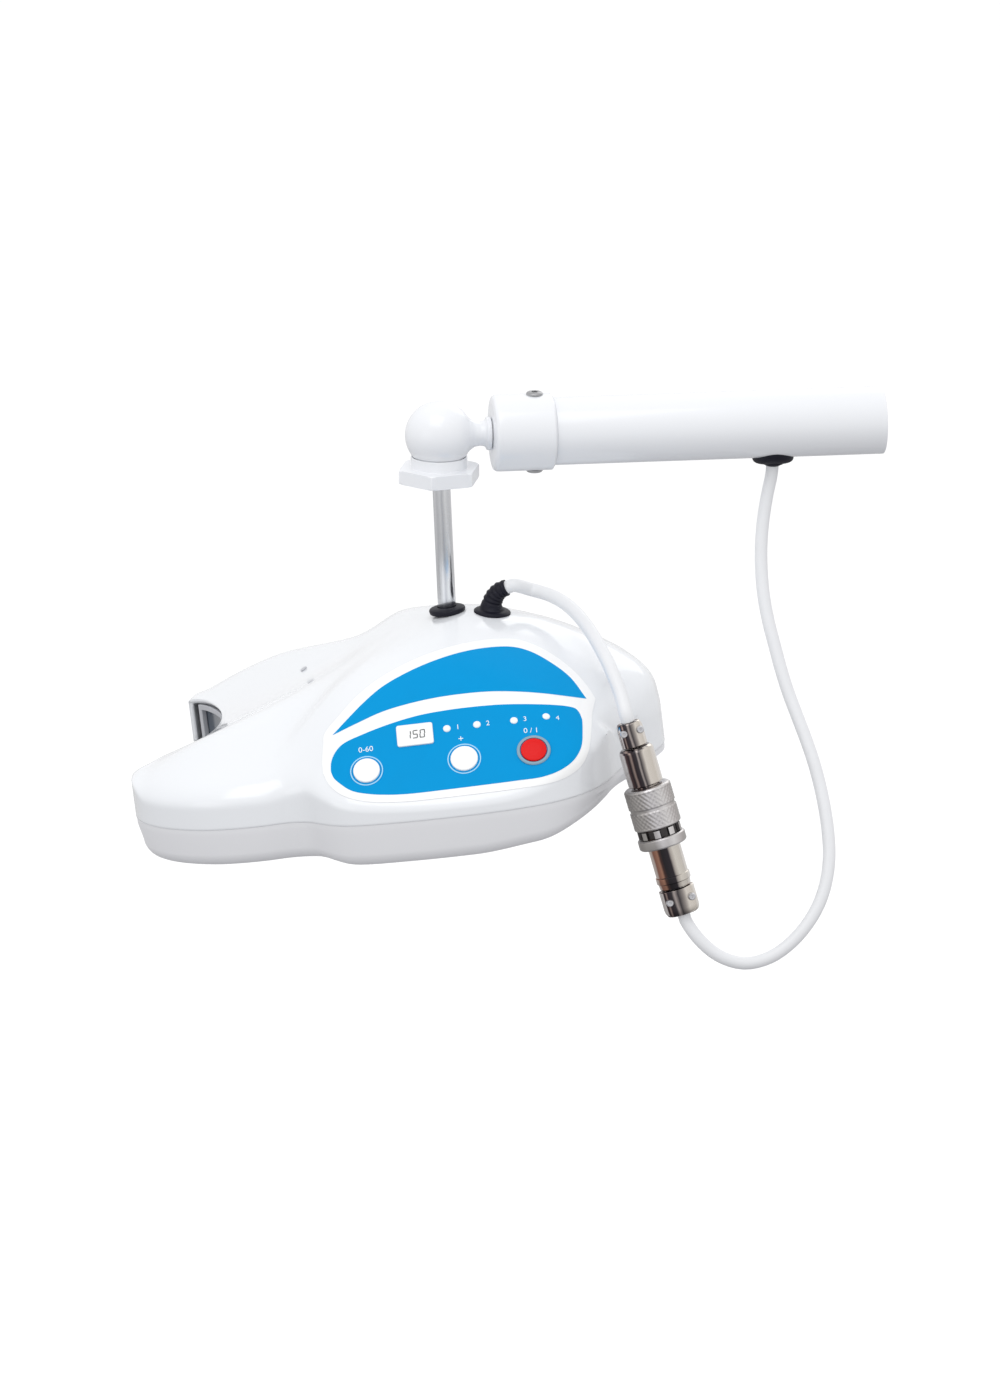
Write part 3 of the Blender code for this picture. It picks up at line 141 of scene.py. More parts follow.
# ------------------------------------------------------------------ materials
def surface(name, colour, rough, metal=0.0, coat=0.0, coat_rough=0.05, tint=0.02, tint_scale=60.0, rough_var=0.05,
            bump=0.0, bump_scale=900.0, stretch=(1, 1, 1), sheen=0.0, spec=0.5, fine=None, alpha=1.0, smooth_dirt=None):
    """A Principled surface with slight colour and gloss variation and a fine moulded or drawn texture."""
    m = bpy.data.materials.new(name)
    m.use_nodes = True
    nt = m.node_tree
    b = nt.nodes["Principled BSDF"]
    b.inputs["Metallic"].default_value = metal
    b.inputs["Coat Weight"].default_value = coat
    b.inputs["Coat Roughness"].default_value = coat_rough
    b.inputs["Specular IOR Level"].default_value = spec
    b.inputs["Sheen Weight"].default_value = sheen
    b.inputs["Alpha"].default_value = alpha
    co = nt.nodes.new("ShaderNodeTexCoord")
    mp = nt.nodes.new("ShaderNodeMapping")
    mp.inputs["Scale"].default_value = stretch
    nt.links.new(co.outputs["Object"], mp.inputs["Vector"])
    n1 = nt.nodes.new("ShaderNodeTexNoise")
    n1.inputs["Scale"].default_value = tint_scale
    n1.inputs["Detail"].default_value = 4.0
    nt.links.new(mp.outputs["Vector"], n1.inputs["Vector"])
    ramp = nt.nodes.new("ShaderNodeValToRGB")
    lo = tuple(max(0.0, c * (1 - tint)) for c in colour)
    hi = tuple(min(1.0, c * (1 + tint)) for c in colour)
    ramp.color_ramp.elements[0].position, ramp.color_ramp.elements[0].color = 0.3, (*lo, 1)
    ramp.color_ramp.elements[1].position, ramp.color_ramp.elements[1].color = 0.7, (*hi, 1)
    nt.links.new(n1.outputs["Fac"], ramp.inputs["Fac"])
    nt.links.new(ramp.outputs["Color"], b.inputs["Base Color"])
    rr = nt.nodes.new("ShaderNodeMapRange")
    rr.inputs["To Min"].default_value = max(0.02, rough - rough_var)
    rr.inputs["To Max"].default_value = min(1.0, rough + rough_var)
    nt.links.new(n1.outputs["Fac"], rr.inputs["Value"])
    nt.links.new(rr.outputs["Result"], b.inputs["Roughness"])
    if bump > 0:
        n2 = nt.nodes.new("ShaderNodeTexNoise")
        n2.inputs["Scale"].default_value = bump_scale
        n2.inputs["Detail"].default_value = 3.0
        nt.links.new(mp.outputs["Vector"], n2.inputs["Vector"])
        bp = nt.nodes.new("ShaderNodeBump")
        bp.inputs["Strength"].default_value = bump
        bp.inputs["Distance"].default_value = 0.0004
        nt.links.new(n2.outputs["Fac"], bp.inputs["Height"])
        nt.links.new(bp.outputs["Normal"], b.inputs["Normal"])
    return m


def metal_with_painted_reflections(name, axis, stops, rough, tilt=(0, 0, 0), rough_var=0.05, bump=0.0, bump_scale=900.0):
    """Bright metal with painted reflections: its base colour runs through bands round its axis, set by which way the
    surface faces, standing in for how turned and plated parts reflect a white studio.
    """
    m = surface(name, (0.6, 0.6, 0.6), rough, metal=1.0, rough_var=rough_var, bump=bump, bump_scale=bump_scale)
    nt = m.node_tree
    b = nt.nodes["Principled BSDF"]
    geo = nt.nodes.new("ShaderNodeTexCoord")
    dot = nt.nodes.new("ShaderNodeVectorMath")
    dot.operation = "DOT_PRODUCT"
    dot.inputs[1].default_value = axis
    nt.links.new(geo.outputs["Normal"], dot.inputs[0])
    noise = nt.nodes.new("ShaderNodeTexNoise")
    noise.inputs["Scale"].default_value = 130.0
    nt.links.new(geo.outputs["Object"], noise.inputs["Vector"])
    mr = nt.nodes.new("ShaderNodeMapRange")
    mr.inputs["To Min"].default_value = -0.05
    mr.inputs["To Max"].default_value = 0.05
    nt.links.new(noise.outputs["Fac"], mr.inputs["Value"])
    add = nt.nodes.new("ShaderNodeMath")
    add.operation = "ADD"
    nt.links.new(dot.outputs["Value"], add.inputs[0])
    nt.links.new(mr.outputs["Result"], add.inputs[1])
    half = nt.nodes.new("ShaderNodeMath")
    half.operation = "MULTIPLY_ADD"
    half.inputs[1].default_value, half.inputs[2].default_value = 0.5, 0.5
    nt.links.new(add.outputs[0], half.inputs[0])
    ramp = nt.nodes.new("ShaderNodeValToRGB")
    els = ramp.color_ramp.elements
    while len(els) > 1:
        els.remove(els[-1])
    els[0].position, els[0].color = stops[0][0], (*stops[0][1], 1)
    for pos, col in stops[1:]:
        e = els.new(pos)
        e.color = (*col, 1)
    nt.links.new(half.outputs[0], ramp.inputs["Fac"])
    nt.links.new(ramp.outputs["Color"], b.inputs["Base Color"])
    return m


M = {}
M["paint"] = surface("paint_white", (0.85, 0.865, 0.895), 0.28, coat=0.5, tint=0.003, tint_scale=30, rough_var=0.012, bump=0.03, bump_scale=1400)
M["upper"] = surface("shell_upper", (0.835, 0.855, 0.885), 0.20, coat=0.8, coat_rough=0.06, tint=0.004, tint_scale=25, rough_var=0.015, bump=0.03, bump_scale=1800)
M["lower"] = surface("shell_lower", (0.79, 0.795, 0.82), 0.42, coat=0.15, tint=0.006, tint_scale=25, rough_var=0.02, bump=0.06, bump_scale=2200)
M["plate"] = surface("label_white", (0.93, 0.935, 0.94), 0.30, tint=0.004, bump=0.02)
M["blue"] = surface("label_blue", (0.0, 0.30, 0.67), 0.5, spec=0.06, tint=0.012, tint_scale=90, bump=0.02, bump_scale=2600)
M["pale_blue"] = surface("label_pale_blue", (0.33, 0.66, 0.90), 0.4, tint=0.01)
M["ring_grey"] = surface("button_ring_grey", (0.22, 0.36, 0.46), 0.4, tint=0.02)
M["white_key"] = surface("button_white", (0.92, 0.92, 0.925), 0.25, coat=0.4, tint=0.004, bump=0.02)
M["red_key"] = surface("button_red", (0.74, 0.008, 0.008), 0.35, coat=0.0, spec=0.16, tint=0.02, bump=0.02)
M["mark"] = surface("printed_marks", (0.80, 0.90, 0.96), 0.5, tint=0.004)
M["ink"] = surface("display_ink", (0.05, 0.055, 0.06), 0.5, tint=0.03)
M["lcd"] = surface("display_face", (0.86, 0.87, 0.87), 0.22, coat=0.6, tint=0.01)
M["lamp"] = surface("indicator_lens", (0.90, 0.95, 0.97), 0.12, coat=0.8, tint=0.01)
M["rubber"] = surface("rubber_black", (0.006, 0.006, 0.014), 0.5, spec=0.25, tint=0.15, tint_scale=200, bump=0.25, bump_scale=1500)
M["cable"] = surface("cable_jacket", (0.80, 0.81, 0.83), 0.38, tint=0.012, tint_scale=70, bump=0.08, bump_scale=1100)
ACROSS = tuple(float(c) for c in CR)
WARM, DARK, PALE, MID = (0.33, 0.25, 0.20), (0.05, 0.045, 0.045), (0.90, 0.88, 0.86), (0.46, 0.42, 0.39)
# painted reflections: the rod's base colour runs through lighter and greyer bands across the view, standing in for the
# studio's reflections in the bright steel
M["rod"] = metal_with_painted_reflections("rod_steel", ACROSS, [(0.0, (0.62, 0.63, 0.65)), (0.10, (0.80, 0.81, 0.83)), (0.22, (0.70, 0.71, 0.73)), (0.38, (0.82, 0.83, 0.85)), (0.50, (0.64, 0.65, 0.68)), (0.66, (0.90, 0.91, 0.92)), (0.84, (0.72, 0.73, 0.75)), (1.0, (0.74, 0.74, 0.76))], 0.24)
M["steel"] = surface("zinc_steel", (0.58, 0.58, 0.60), 0.32, metal=1.0, tint=0.08, tint_scale=250, rough_var=0.08)
M["screw"] = surface("screw_dark", (0.40, 0.40, 0.41), 0.35, metal=1.0, tint=0.1, tint_scale=250)
# painted reflections: the connector's nickel parts take dark, warm and light bands in their base colour, set by which
# way each surface faces across the view
_c = tuple(float(c) for c in unit(CR - CON_Z * (CR @ CON_Z)))
M["nickel"] = metal_with_painted_reflections("nickel", _c, [(0.0, (0.70, 0.67, 0.65)), (0.11, (0.74, 0.70, 0.68)), (0.15, (0.10, 0.06, 0.06)), (0.24, (0.035, 0.03, 0.035)), (0.30, (0.36, 0.27, 0.24)), (0.35, (0.04, 0.03, 0.035)), (0.46, (0.05, 0.045, 0.05)), (0.50, (0.40, 0.35, 0.33)), (0.55, (0.05, 0.045, 0.05)), (0.62, (0.30, 0.27, 0.25)), (0.68, (0.66, 0.61, 0.55)), (0.86, (0.60, 0.55, 0.49)), (1.0, (0.78, 0.74, 0.69))], 0.13, rough_var=0.04)
M["nickel_painted_warm_reflections"] = metal_with_painted_reflections("nickel_painted_warm_reflections", _c, [(0.0, (0.55, 0.47, 0.42)), (0.07, (0.62, 0.53, 0.48)), (0.12, (0.30, 0.14, 0.10)), (0.24, (0.42, 0.22, 0.15)), (0.30, (0.08, 0.045, 0.04)), (0.38, (0.03, 0.028, 0.03)), (0.58, (0.035, 0.03, 0.035)), (0.64, (0.38, 0.34, 0.31)), (0.74, (0.62, 0.58, 0.52)), (0.9, (0.56, 0.52, 0.47)), (1.0, (0.76, 0.72, 0.68))], 0.13, rough_var=0.04)
M["satin_nickel"] = metal_with_painted_reflections("satin_nickel", _c, [(0.0, (0.28, 0.26, 0.25)), (0.15, (0.43, 0.41, 0.39)), (0.35, (0.38, 0.36, 0.35)), (0.5, (0.62, 0.60, 0.61)), (0.62, (0.54, 0.52, 0.52)), (0.75, (0.67, 0.65, 0.64)), (0.9, (0.48, 0.45, 0.44)), (1.0, (0.34, 0.32, 0.30))], 0.3, rough_var=0.08, bump=0.18)
M["dark_metal"] = surface("dark_metal", (0.06, 0.055, 0.055), 0.3, metal=1.0, tint=0.2, tint_scale=300)
M["frame"] = surface("window_frame_grey", (0.50, 0.51, 0.54), 0.4, tint=0.03, tint_scale=80, bump=0.05)
M["lens"] = surface("window_lens", (0.10, 0.12, 0.15), 0.12, coat=1.0, coat_rough=0.03, tint=0.12, tint_scale=45)
M["clear"] = surface("clear_lens", (0.75, 0.80, 0.86), 0.08, coat=1.0, tint=0.02)
M["board"] = surface("circuit_board", (0.01, 0.14, 0.05), 0.45, tint=0.2, tint_scale=120, bump=0.1)
M["alu"] = surface("aluminium", (0.62, 0.62, 0.64), 0.38, metal=1.0, tint=0.06, tint_scale=200, stretch=(1, 1, 0.05))
M["black"] = surface("black_plastic", (0.02, 0.02, 0.02), 0.45, tint=0.1, bump=0.1)
M["nylon"] = surface("nylon", (0.74, 0.72, 0.66), 0.5, tint=0.03)
M["brass"] = surface("brass", (0.72, 0.55, 0.25), 0.3, metal=1.0, tint=0.06, tint_scale=200)

NODE_LOOK = {
    "paint": ["arm_tube", "tube_collar", "ball_housing", "clamp_nut"], "screw": ["collar_screw_top", "collar_screw_bottom"],
    "rubber": ["cable_grommet", "strain_relief", "rod_grommet"], "cable": ["upper_cable", "lower_cable"],
    "rod": ["drop_rod"], "nylon": ["ball_seat"],
    "steel": ["stem_nut", "rod_retaining_ring", "rod_bracket", "bracket_screw_1", "bracket_screw_2", "case_screw_1", "case_screw_2", "case_screw_3", "case_screw_4", "clamp_screw_1", "clamp_screw_2", "clamp_screw_3", "clamp_screw_4"],
    "brass": ["swivel_bush"], "upper": ["upper_shell"], "lower": ["lower_shell"], "frame": ["window_frame"], "lens": ["arc_lens"],
    "clear": ["led_lens_strip", "display_window"], "lamp": ["indicator_light_1", "indicator_light_2", "indicator_light_3", "indicator_light_4"],
    "board": ["led_board", "driver_board", "control_board"], "alu": ["heat_sink"], "black": ["timer_switch", "set_switch", "power_switch", "contact_insert"],
    "lcd": ["display_module"], "blue": ["label_panel"], "white_key": ["timer_button", "set_button", "timer_bezel", "set_bezel", "power_bezel"],
    "red_key": ["power_button"], "nickel": ["cable_clamp_upper", "plug_barrel", "receptacle_ring", "receptacle_barrel", "cable_clamp_lower"],
    "satin_nickel": ["coupling_nut"], "dark_metal": ["lock_ring"],
}
for look, names in NODE_LOOK.items():
    for n in names:
        ob = frame["nodes"][n]
        ob = bpy.data.objects[n] if not hasattr(ob, "data") else ob
        ob.data.materials.clear()
        ob.data.materials.append(M[look])


# ------------------------------------------------------------------ mesh helpers
def signed_volume(v, faces):
    t = 0.0
    for f in faces:
        for i in range(1, len(f) - 1):
            t += float(np.dot(v[f[0]], np.cross(v[f[i]], v[f[i + 1]])))
    return t / 6


def place(name, verts, faces, mat, world, body, replaces=(), slot=None, smooth=40.0, closed=True, groups=None, mats=None):
    """A piece from points in its own frame (mm), set in the row frame and tied to its body."""
    v = np.array(verts, float)
    if closed and signed_volume(v, faces) < 0:
        faces = [tuple(reversed(f)) for f in faces]
    me = bpy.data.meshes.new(name)
    w = np.array(world)
    p = v @ w[:3, :3].T * MM + w[:3, 3]
    me.from_pydata(p.tolist(), [], [tuple(int(i) for i in f) for f in faces])
    me.update()
    ob = bpy.data.objects.new(name, me)
    bpy.context.scene.collection.objects.link(ob)
    for m in (mats or [mat]):
        me.materials.append(m)
    if groups is not None:
        me.polygons.foreach_set("material_index", np.array(groups, np.int32))
    me.shade_smooth()
    if smooth < 180:
        me.set_sharp_from_angle(angle=radians(smooth))
    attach(ob, body)
    if replaces:
        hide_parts(*replaces)
    return ob


def bevel(ob, width, segments=2, angle=35):
    m = ob.modifiers.new("edge", "BEVEL")
    m.width = width * MM
    m.segments = segments
    m.limit_method = "ANGLE"
    m.angle_limit = radians(angle)
    m.harden_normals = False
    return ob


def turned(profile, n=64, phase=0.0, closed=False, radius=None):
    verts, rings, faces = [], [], []
    for r, z in profile:
        if r < 1e-6:
            verts.append((0.0, 0.0, z))
            rings.append([len(verts) - 1])
        else:
            k = len(verts)
            for i in range(n):
                a = phase + 2 * pi * i / n
                rr = radius(r, a, z) if radius else r
                verts.append((rr * cos(a), rr * sin(a), z))
            rings.append(list(range(k, k + n)))
    pairs = list(zip(rings[:-1], rings[1:]))
    if closed:
        pairs.append((rings[-1], rings[0]))
    for a, b in pairs:
        for i in range(n):
            j = (i + 1) % n
            if len(a) == 1 and len(b) == 1:
                continue
            if len(a) == 1:
                faces.append((a[0], b[i], b[j]))
            elif len(b) == 1:
                faces.append((a[i], b[0], a[j]))
            else:
                faces.append((a[i], b[i], b[j], a[j]))
    return verts, faces


def rounded(profile, radii, steps=4):
    """A turned profile whose corners are rounded: radii gives one radius for each point, 0 keeps it sharp."""
    p = [np.array(q, float) for q in profile]
    out = []
    for i, q in enumerate(p):
        r = radii[i]
        if r <= 0 or i in (0, len(p) - 1):
            out.append(tuple(q))
            continue
        a, b = unit(p[i - 1] - q), unit(p[i + 1] - q)
        ang = acos(max(-1.0, min(1.0, float(a @ b))))
        if ang > pi - 0.05:
            out.append(tuple(q))
            continue
        t = min(r / tan(ang / 2), 0.48 * np.linalg.norm(p[i - 1] - q), 0.48 * np.linalg.norm(p[i + 1] - q))
        s, e = q + a * t, q + b * t
        for k in range(steps + 1):
            u = k / steps
            out.append(tuple((1 - u) ** 2 * s + 2 * u * (1 - u) * q + u * u * e))
    return out


def extruded(outline, z0, z1):
    n = len(outline)
    v = [(x, y, z0) for x, y in outline] + [(x, y, z1) for x, y in outline]
    f = [tuple(range(n))[::-1], tuple(range(n, 2 * n))]
    f += [(i, (i + 1) % n, n + (i + 1) % n, n + i) for i in range(n)]
    return v, f


def joined(*parts):
    v, f = [], []
    for pv, pf in parts:
        if signed_volume(np.array(pv, float), pf) < 0:
            pf = [tuple(reversed(q)) for q in pf]
        k = len(v)
        v += [tuple(q) for q in pv]
        f += [tuple(i + k for i in q) for q in pf]
    return v, f


def moved(part, x=0.0, y=0.0, z=0.0, rot=None):
    v = np.array(part[0], float)
    if rot is not None:
        v = v @ np.array(rot, float).T
    return [tuple(q) for q in v + np.array([x, y, z])], part[1]


def catmull(points, count, end_flat=False):
    p = np.array(points, float)
    d = np.linalg.norm(np.diff(p, axis=0), axis=1) ** 0.5
    t = np.concatenate([[0], np.cumsum(d)])
    m = np.zeros_like(p)
    m[0] = (p[1] - p[0]) / (t[1] - t[0])
    m[-1] = (p[-1] - p[-2]) / (t[-1] - t[-2])
    for i in range(1, len(p) - 1):
        a = (p[i] - p[i - 1]) / (t[i] - t[i - 1])
        b = (p[i + 1] - p[i]) / (t[i + 1] - t[i])
        m[i] = (a * (t[i + 1] - t[i]) + b * (t[i] - t[i - 1])) / (t[i + 1] - t[i - 1])
    if end_flat:
        m[-1] = np.array([0.0, m[-1][1]])
    u = np.linspace(0, t[-1], count)
    i = np.clip(np.searchsorted(t, u) - 1, 0, len(p) - 2)
    h = (t[i + 1] - t[i])[:, None]
    s = (u[:, None] - t[i][:, None]) / h
    return (2 * s**3 - 3 * s**2 + 1) * p[i] + (s**3 - 2 * s**2 + s) * h * m[i] + (-2 * s**3 + 3 * s**2) * p[i + 1] + (s**3 - s**2) * h * m[i + 1]


def even(points, count, curve=True):
    p = catmull(points, 600) if curve else np.array(points, float)
    s = np.concatenate([[0], np.cumsum(np.linalg.norm(np.diff(p, axis=0), axis=1))])
    u = np.linspace(0, s[-1], count)
    return np.stack([np.interp(u, s, p[:, k]) for k in range(p.shape[1])], 1)


# ------------------------------------------------------------------ the head's form
SIDE = [(-138, 56), (-135.8, 66), (-130.5, 76), (-122, 84.5), (-111, 91), (-99, 95), (-88, 96), (-73, 94.5), (-61, 91.5), (-52, 92.5), (-45, 97), (-37, 101.5), (-28, 103.5), (-8, 102.5), (16, 99), (40, 93), (55.5, 86), (67, 75.5), (73.5, 62), (76, 50)]
REAR = [(76, 50), (77, 41), (79, 33), (83, 25.5), (86.7, 17), (89, 8), (90, 0)]
ARC_HALF_W, ARC_SAG, ARC_L = 56.0, 27.0, -111.0
ARC_R = (ARC_HALF_W**2 + ARC_SAG**2) / (2 * ARC_SAG)
ARC_C = ARC_L - ARC_R
PARTING, WALL = 18.0, 2.2
SPINE_L = [-200, 0, 10, 20, 29, 39, 48, 56, 64, 72, 78, 83, 90, 100]
SPINE_Z = [86.7, 86.5, 86, 84.4, 82, 79, 75.8, 72, 67.8, 63, 59, 55, 47, 36]
C_OUT = catmull(SIDE + REAR[1:], 400, True)
C_LOBE = catmull(SIDE + [(76, 40), (76.5, 20), (76.5, 0)], 300, True)
C_TAIL = catmull([(20, 46), (50, 43), (66, 40), (74, 37), (79, 32.5), (83, 26), (86.7, 17), (89, 8), (90, 0)], 200, True)
C_ARM = catmull([p for p in SIDE if p[0] < -60] + [(-45, 90), (-30, 88), (-10, 85), (20, 78), (50, 60), (70, 30), (75, 0)], 250, True)


def inside(curve, l, w):
    l = np.asarray(l, float)
    w = np.abs(np.asarray(w, float))
    l, w = np.broadcast_arrays(l, w)
    p = np.stack([l.ravel(), w.ravel()], 1)
    best = np.full(len(p), 1e9)
    sg = np.ones(len(p))
    for a, b in zip(curve[:-1], curve[1:]):
        e = b - a
        r = p - a
        t = np.clip((r @ e) / (e @ e), 0, 1)
        q = r - t[:, None] * e
        dd = np.hypot(q[:, 0], q[:, 1])
        cr = e[0] * r[:, 1] - e[1] * r[:, 0]
        u = dd < best - 1e-9
        sg = np.where(u, np.where(cr <= 0, 1, -1), sg)
        best = np.where(u, dd, best)
    return (best * sg).reshape(l.shape)


def low(a, b, k):
    h = np.clip(0.5 + 0.5 * (b - a) / k, 0, 1)
    return b * (1 - h) + a * h - k * h * (1 - h)


def high(a, b, k):
    return -low(-a, -b, k)


def step(x):
    x = np.clip(x, 0, 1)
    return x * x * (3 - 2 * x)


def quarter(d, r):
    x = np.clip(1 - d / r, 0, 1)
    return np.sqrt(np.clip(1 - x * x, 0, 1)) + np.minimum(d, 0) * 0.5


def top_z(l, w):
    l = np.asarray(l, float)
    far = step(np.asarray(w, float) / 45)
    w = np.abs(np.asarray(w, float))
    d_out, d_arm = inside(C_OUT, l, w), inside(C_ARM, l, w)
    d_lobe, d_tail = inside(C_LOBE, l, w), inside(C_TAIL, l, w)
    cone = 39.5 + (0.43 + 0.13 * far) * (np.hypot(l - ARC_C, w) - ARC_R)
    spine = np.interp(l + 0.2 * np.maximum(w - 4, 0), SPINE_L, SPINE_Z)
    dome = spine - 0.27 * (np.sqrt(w * w + 100) - 10) - 0.0016 * np.maximum(w - 25, 0) ** 2
    top = low(cone, dome, 8)
    arm = low(top, 33 + 3.5 * far + 3 * step((-128 - l) / 10) + 0.56 * d_arm, 6)
    plane = P0[2] - (1 / tan(PHI)) * (sin(BETA) * (l - 10) + cos(BETA) * (w - 97) + 0.0085 * np.maximum(-22 - l, 0) ** 2)
    front = 36 + 1.2 * (l + 72)
    rear = 30 + 0.5 * np.maximum(75 - w, 0) + 22 * quarter(d_lobe, 10) + (1 - np.clip((l - 30) / 20, 0, 1)) * 60
    lobe = low(low(low(top, plane, 9), rear, 5), front, 12)
    tail = np.where(l > 0, low(dome - 0.0035 * w * w, 37 + 24 * quarter(d_tail, 12), 4), -50)
    z = high(high(arm, lobe, 8), tail, 2.5)
    tip, lob = step((-126 - l) / 12), step((l + 60) / 20)
    h, r = 5 * (1 - tip) * (1 - 0.5 * lob) + 1.5 * tip, 8 * (1 - 0.45 * lob)
    x = np.clip(1 - d_out / r, 0, 1)
    return z - h * (1 - np.sqrt(np.clip(1 - x * x, 0, 1)))


def floor_z(l):
    l = np.asarray(l, float)
    return -2 * step((l + 50) / 20) * (1 - step((l - 20) / 30)) + 9 * step((l - 46) / 30)


NU, NW = 121, 97


def side_loop(inset):
    c = catmull(SIDE, 900)
    s = np.concatenate([[0], np.cumsum(np.hypot(*np.diff(c, axis=0).T))])
    uu = np.linspace(0, 1, NU) ** 1.15 * s[-1]
    p = np.stack([np.interp(uu, s, c[:, 0]), np.interp(uu, s, c[:, 1])], 1)
    g = np.gradient(p, axis=0)
    n = np.stack([g[:, 1], -g[:, 0]], 1)
    n /= np.linalg.norm(n, axis=1, keepdims=True)
    th = asin(ARC_HALF_W / ARC_R)
    along = np.array([sin(th), -cos(th)])
    k = 1 - step(uu / 26.0)
    n = n * (1 - k[:, None]) + along * k[:, None]
    n /= np.linalg.norm(n, axis=1, keepdims=True)
    q = p + n * inset
    q[0, 0] = ARC_C + sqrt(ARC_R**2 - q[0, 1] ** 2)
    return q


def plan_grid(inset):
    c = side_loop(inset)
    x = np.linspace(-1, 1, NW)
    x = np.sign(x) * (1 - (1 - np.abs(x)) ** 1.5)
    rc = catmull(REAR, 300, True)
    rear_l = np.interp(np.abs(x) * 50, rc[::-1, 1], rc[::-1, 0]) - 76
    t = np.linspace(0, 1, NU)[:, None]
    arc_end = ARC_C + sqrt(ARC_R**2 - c[0, 1] ** 2)
    ga = (ARC_C + np.sqrt(ARC_R**2 - (x * c[0, 1]) ** 2) - arc_end)[None]
    b = step(t)
    gw = c[:, 1:2] * x[None]
    gl = c[:, 0:1] + (1 - b) * ga + b * rear_l[None] * (1 - inset / 60.0)
    return gl, gw


RIM = [(i, NW - 1) for i in range(NU)] + [(NU - 1, j) for j in range(NW - 2, -1, -1)] + [(i, 0) for i in range(NU - 2, -1, -1)]


def relax(z, keep, rounds):
    """Evens out a grid of heights, less near its rim."""
    z = z.copy()
    for _ in range(rounds):
        a = z.copy()
        a[1:-1, 1:-1] = (z[:-2, 1:-1] + z[2:, 1:-1] + z[1:-1, :-2] + z[1:-1, 2:]) / 4
        a[0, 1:-1] = z[0, 1:-1]
        z = z * keep + a * (1 - keep)
    return z


def skin(gl, gw, gz, rows):
    verts = [(gl[i, j], gw[i, j], gz[i, j]) for i in range(NU) for j in range(NW)]
    faces = [(i * NW + j, i * NW + j + 1, (i + 1) * NW + j + 1, (i + 1) * NW + j) for i in range(NU - 1) for j in range(NW - 1)]
    prev = [i * NW + j for i, j in RIM]
    for row in rows:
        k = len(verts)
        verts += [tuple(p) for p in row]
        cur = list(range(k, k + len(row)))
        faces += [(prev[i], cur[i], cur[i + 1], prev[i + 1]) for i in range(len(row) - 1)]
        prev = cur
    return verts, faces


def shell(name, verts, faces, up, mat, replaces, slot):
    me_faces = faces
    v = np.array(verts, float)
    a, b, c = v[faces[0][0]], v[faces[0][1]], v[faces[0][2]]
    if (np.cross(b - a, c - b)[2] > 0) != up:
        me_faces = [tuple(reversed(f)) for f in faces]
    ob = place(name, verts, me_faces, mat, T_HEAD, "head", replaces, slot, smooth=38, closed=False)
    s = ob.modifiers.new("wall", "SOLIDIFY")
    s.thickness = WALL * MM
    s.offset = -1.0
    thick = ob.vertex_groups.new(name="thick")
    for i, p in enumerate(verts):
        thick.add([i], float(1 - step((p[0] - 30) / 30)), "REPLACE")
    s.vertex_group = "thick"
    s.thickness_vertex_group = 0.1
    return ob


GL, GW = plan_grid(0.0)
Z0 = top_z(GL, GW)
edge = np.minimum(np.minimum(np.arange(NW), np.arange(NW)[::-1])[None] / 9.0, (NU - 1 - np.arange(NU))[:, None] / 7.0)
keep = 1 - np.clip(edge, 0, 1) * 0.95
GZ = relax(Z0, keep, 14)
REAR_K = step((GL - 68) / 8)
for _ in range(14):
    even_z = GZ.copy()
    even_z[1:-1, 1:-1] = (GZ[:-2, 1:-1] + GZ[2:, 1:-1] + GZ[1:-1, :-2] + GZ[1:-1, 2:]) / 4
    even_z[-1, 1:-1] = (GZ[-1, :-2] + GZ[-1, 2:]) / 2
    GZ = GZ + (even_z - GZ) * REAR_K * 0.9
TOP = [(GL[a], GW[a], float(GZ[a])) for a in RIM]


def at_height(z, inset=0.0):
    gl, gw = (GL, GW) if inset == 0 else plan_grid(inset)
    return [(gl[q], gw[q], z) for q in RIM]


def between(k):
    return [(p[0], p[1], p[2] + (PARTING + 0.9 - p[2]) * k) for p in TOP]


up_rows = [between(0.15), between(0.5), between(0.85), at_height(PARTING + 0.9), at_height(PARTING + 0.12, 0.02), at_height(PARTING + 0.03, 0.08)]
up_v, up_f = skin(GL, GW, GZ, up_rows)
TREE = BVHTree.FromPolygons([Vector(q) for q in up_v], up_f)
upper = shell("upper_case", up_v, up_f, True, M["upper"], ["upper_shell"], "upper_white")

DRAFT, EDGE = 2.2, 7.0
FL, FW = plan_grid(DRAFT + EDGE)
low_rows = []
for ang in (12, 24, 36, 48, 60, 72, 82, 90):
    a = radians(ang)
    gl, gw = plan_grid(DRAFT + EDGE * (1 - sin(a)))
    low_rows.append([(gl[q], gw[q], float(floor_z(FL[q])) + EDGE * (1 - cos(a))) for q in RIM])
gl, gw = plan_grid(0.35)
low_rows.append([(gl[q], gw[q], PARTING - 3.0) for q in RIM])
low_rows.append([(gl[q], gw[q], PARTING - 0.9) for q in RIM])
low_rows.append(at_height(PARTING - 0.12, 0.35))
low_rows.append(at_height(PARTING - 0.03, 0.40))
lower = shell("lower_case", *skin(FL, FW, floor_z(FL), low_rows), False, M["lower"], ["lower_shell"], "lower_white")

# ------------------------------------------------------------------ the panel's film, laid on the skin as the camera sees it
INV_HEAD = T_HEAD.inverted()
CAM_H = np.array(INV_HEAD @ Vector(CAM * MM)) / MM


def lay(s, t, lift=0.0, d=0.0):
    """Point of the skin behind panel point (s, t), lifted along the skin's normal."""
    q = P0 + PA * s + PB * t + PN * d
    ray = Vector(q - CAM_H).normalized()
    hit, nor, _, _ = TREE.ray_cast(Vector(CAM_H), ray)
    if hit is None:
        hit, nor, _, _ = TREE.find_nearest(Vector(q))
    if nor.dot(ray) > 0:
        nor = -nor
    return np.array(hit) + np.array(nor) * lift, np.array(nor)


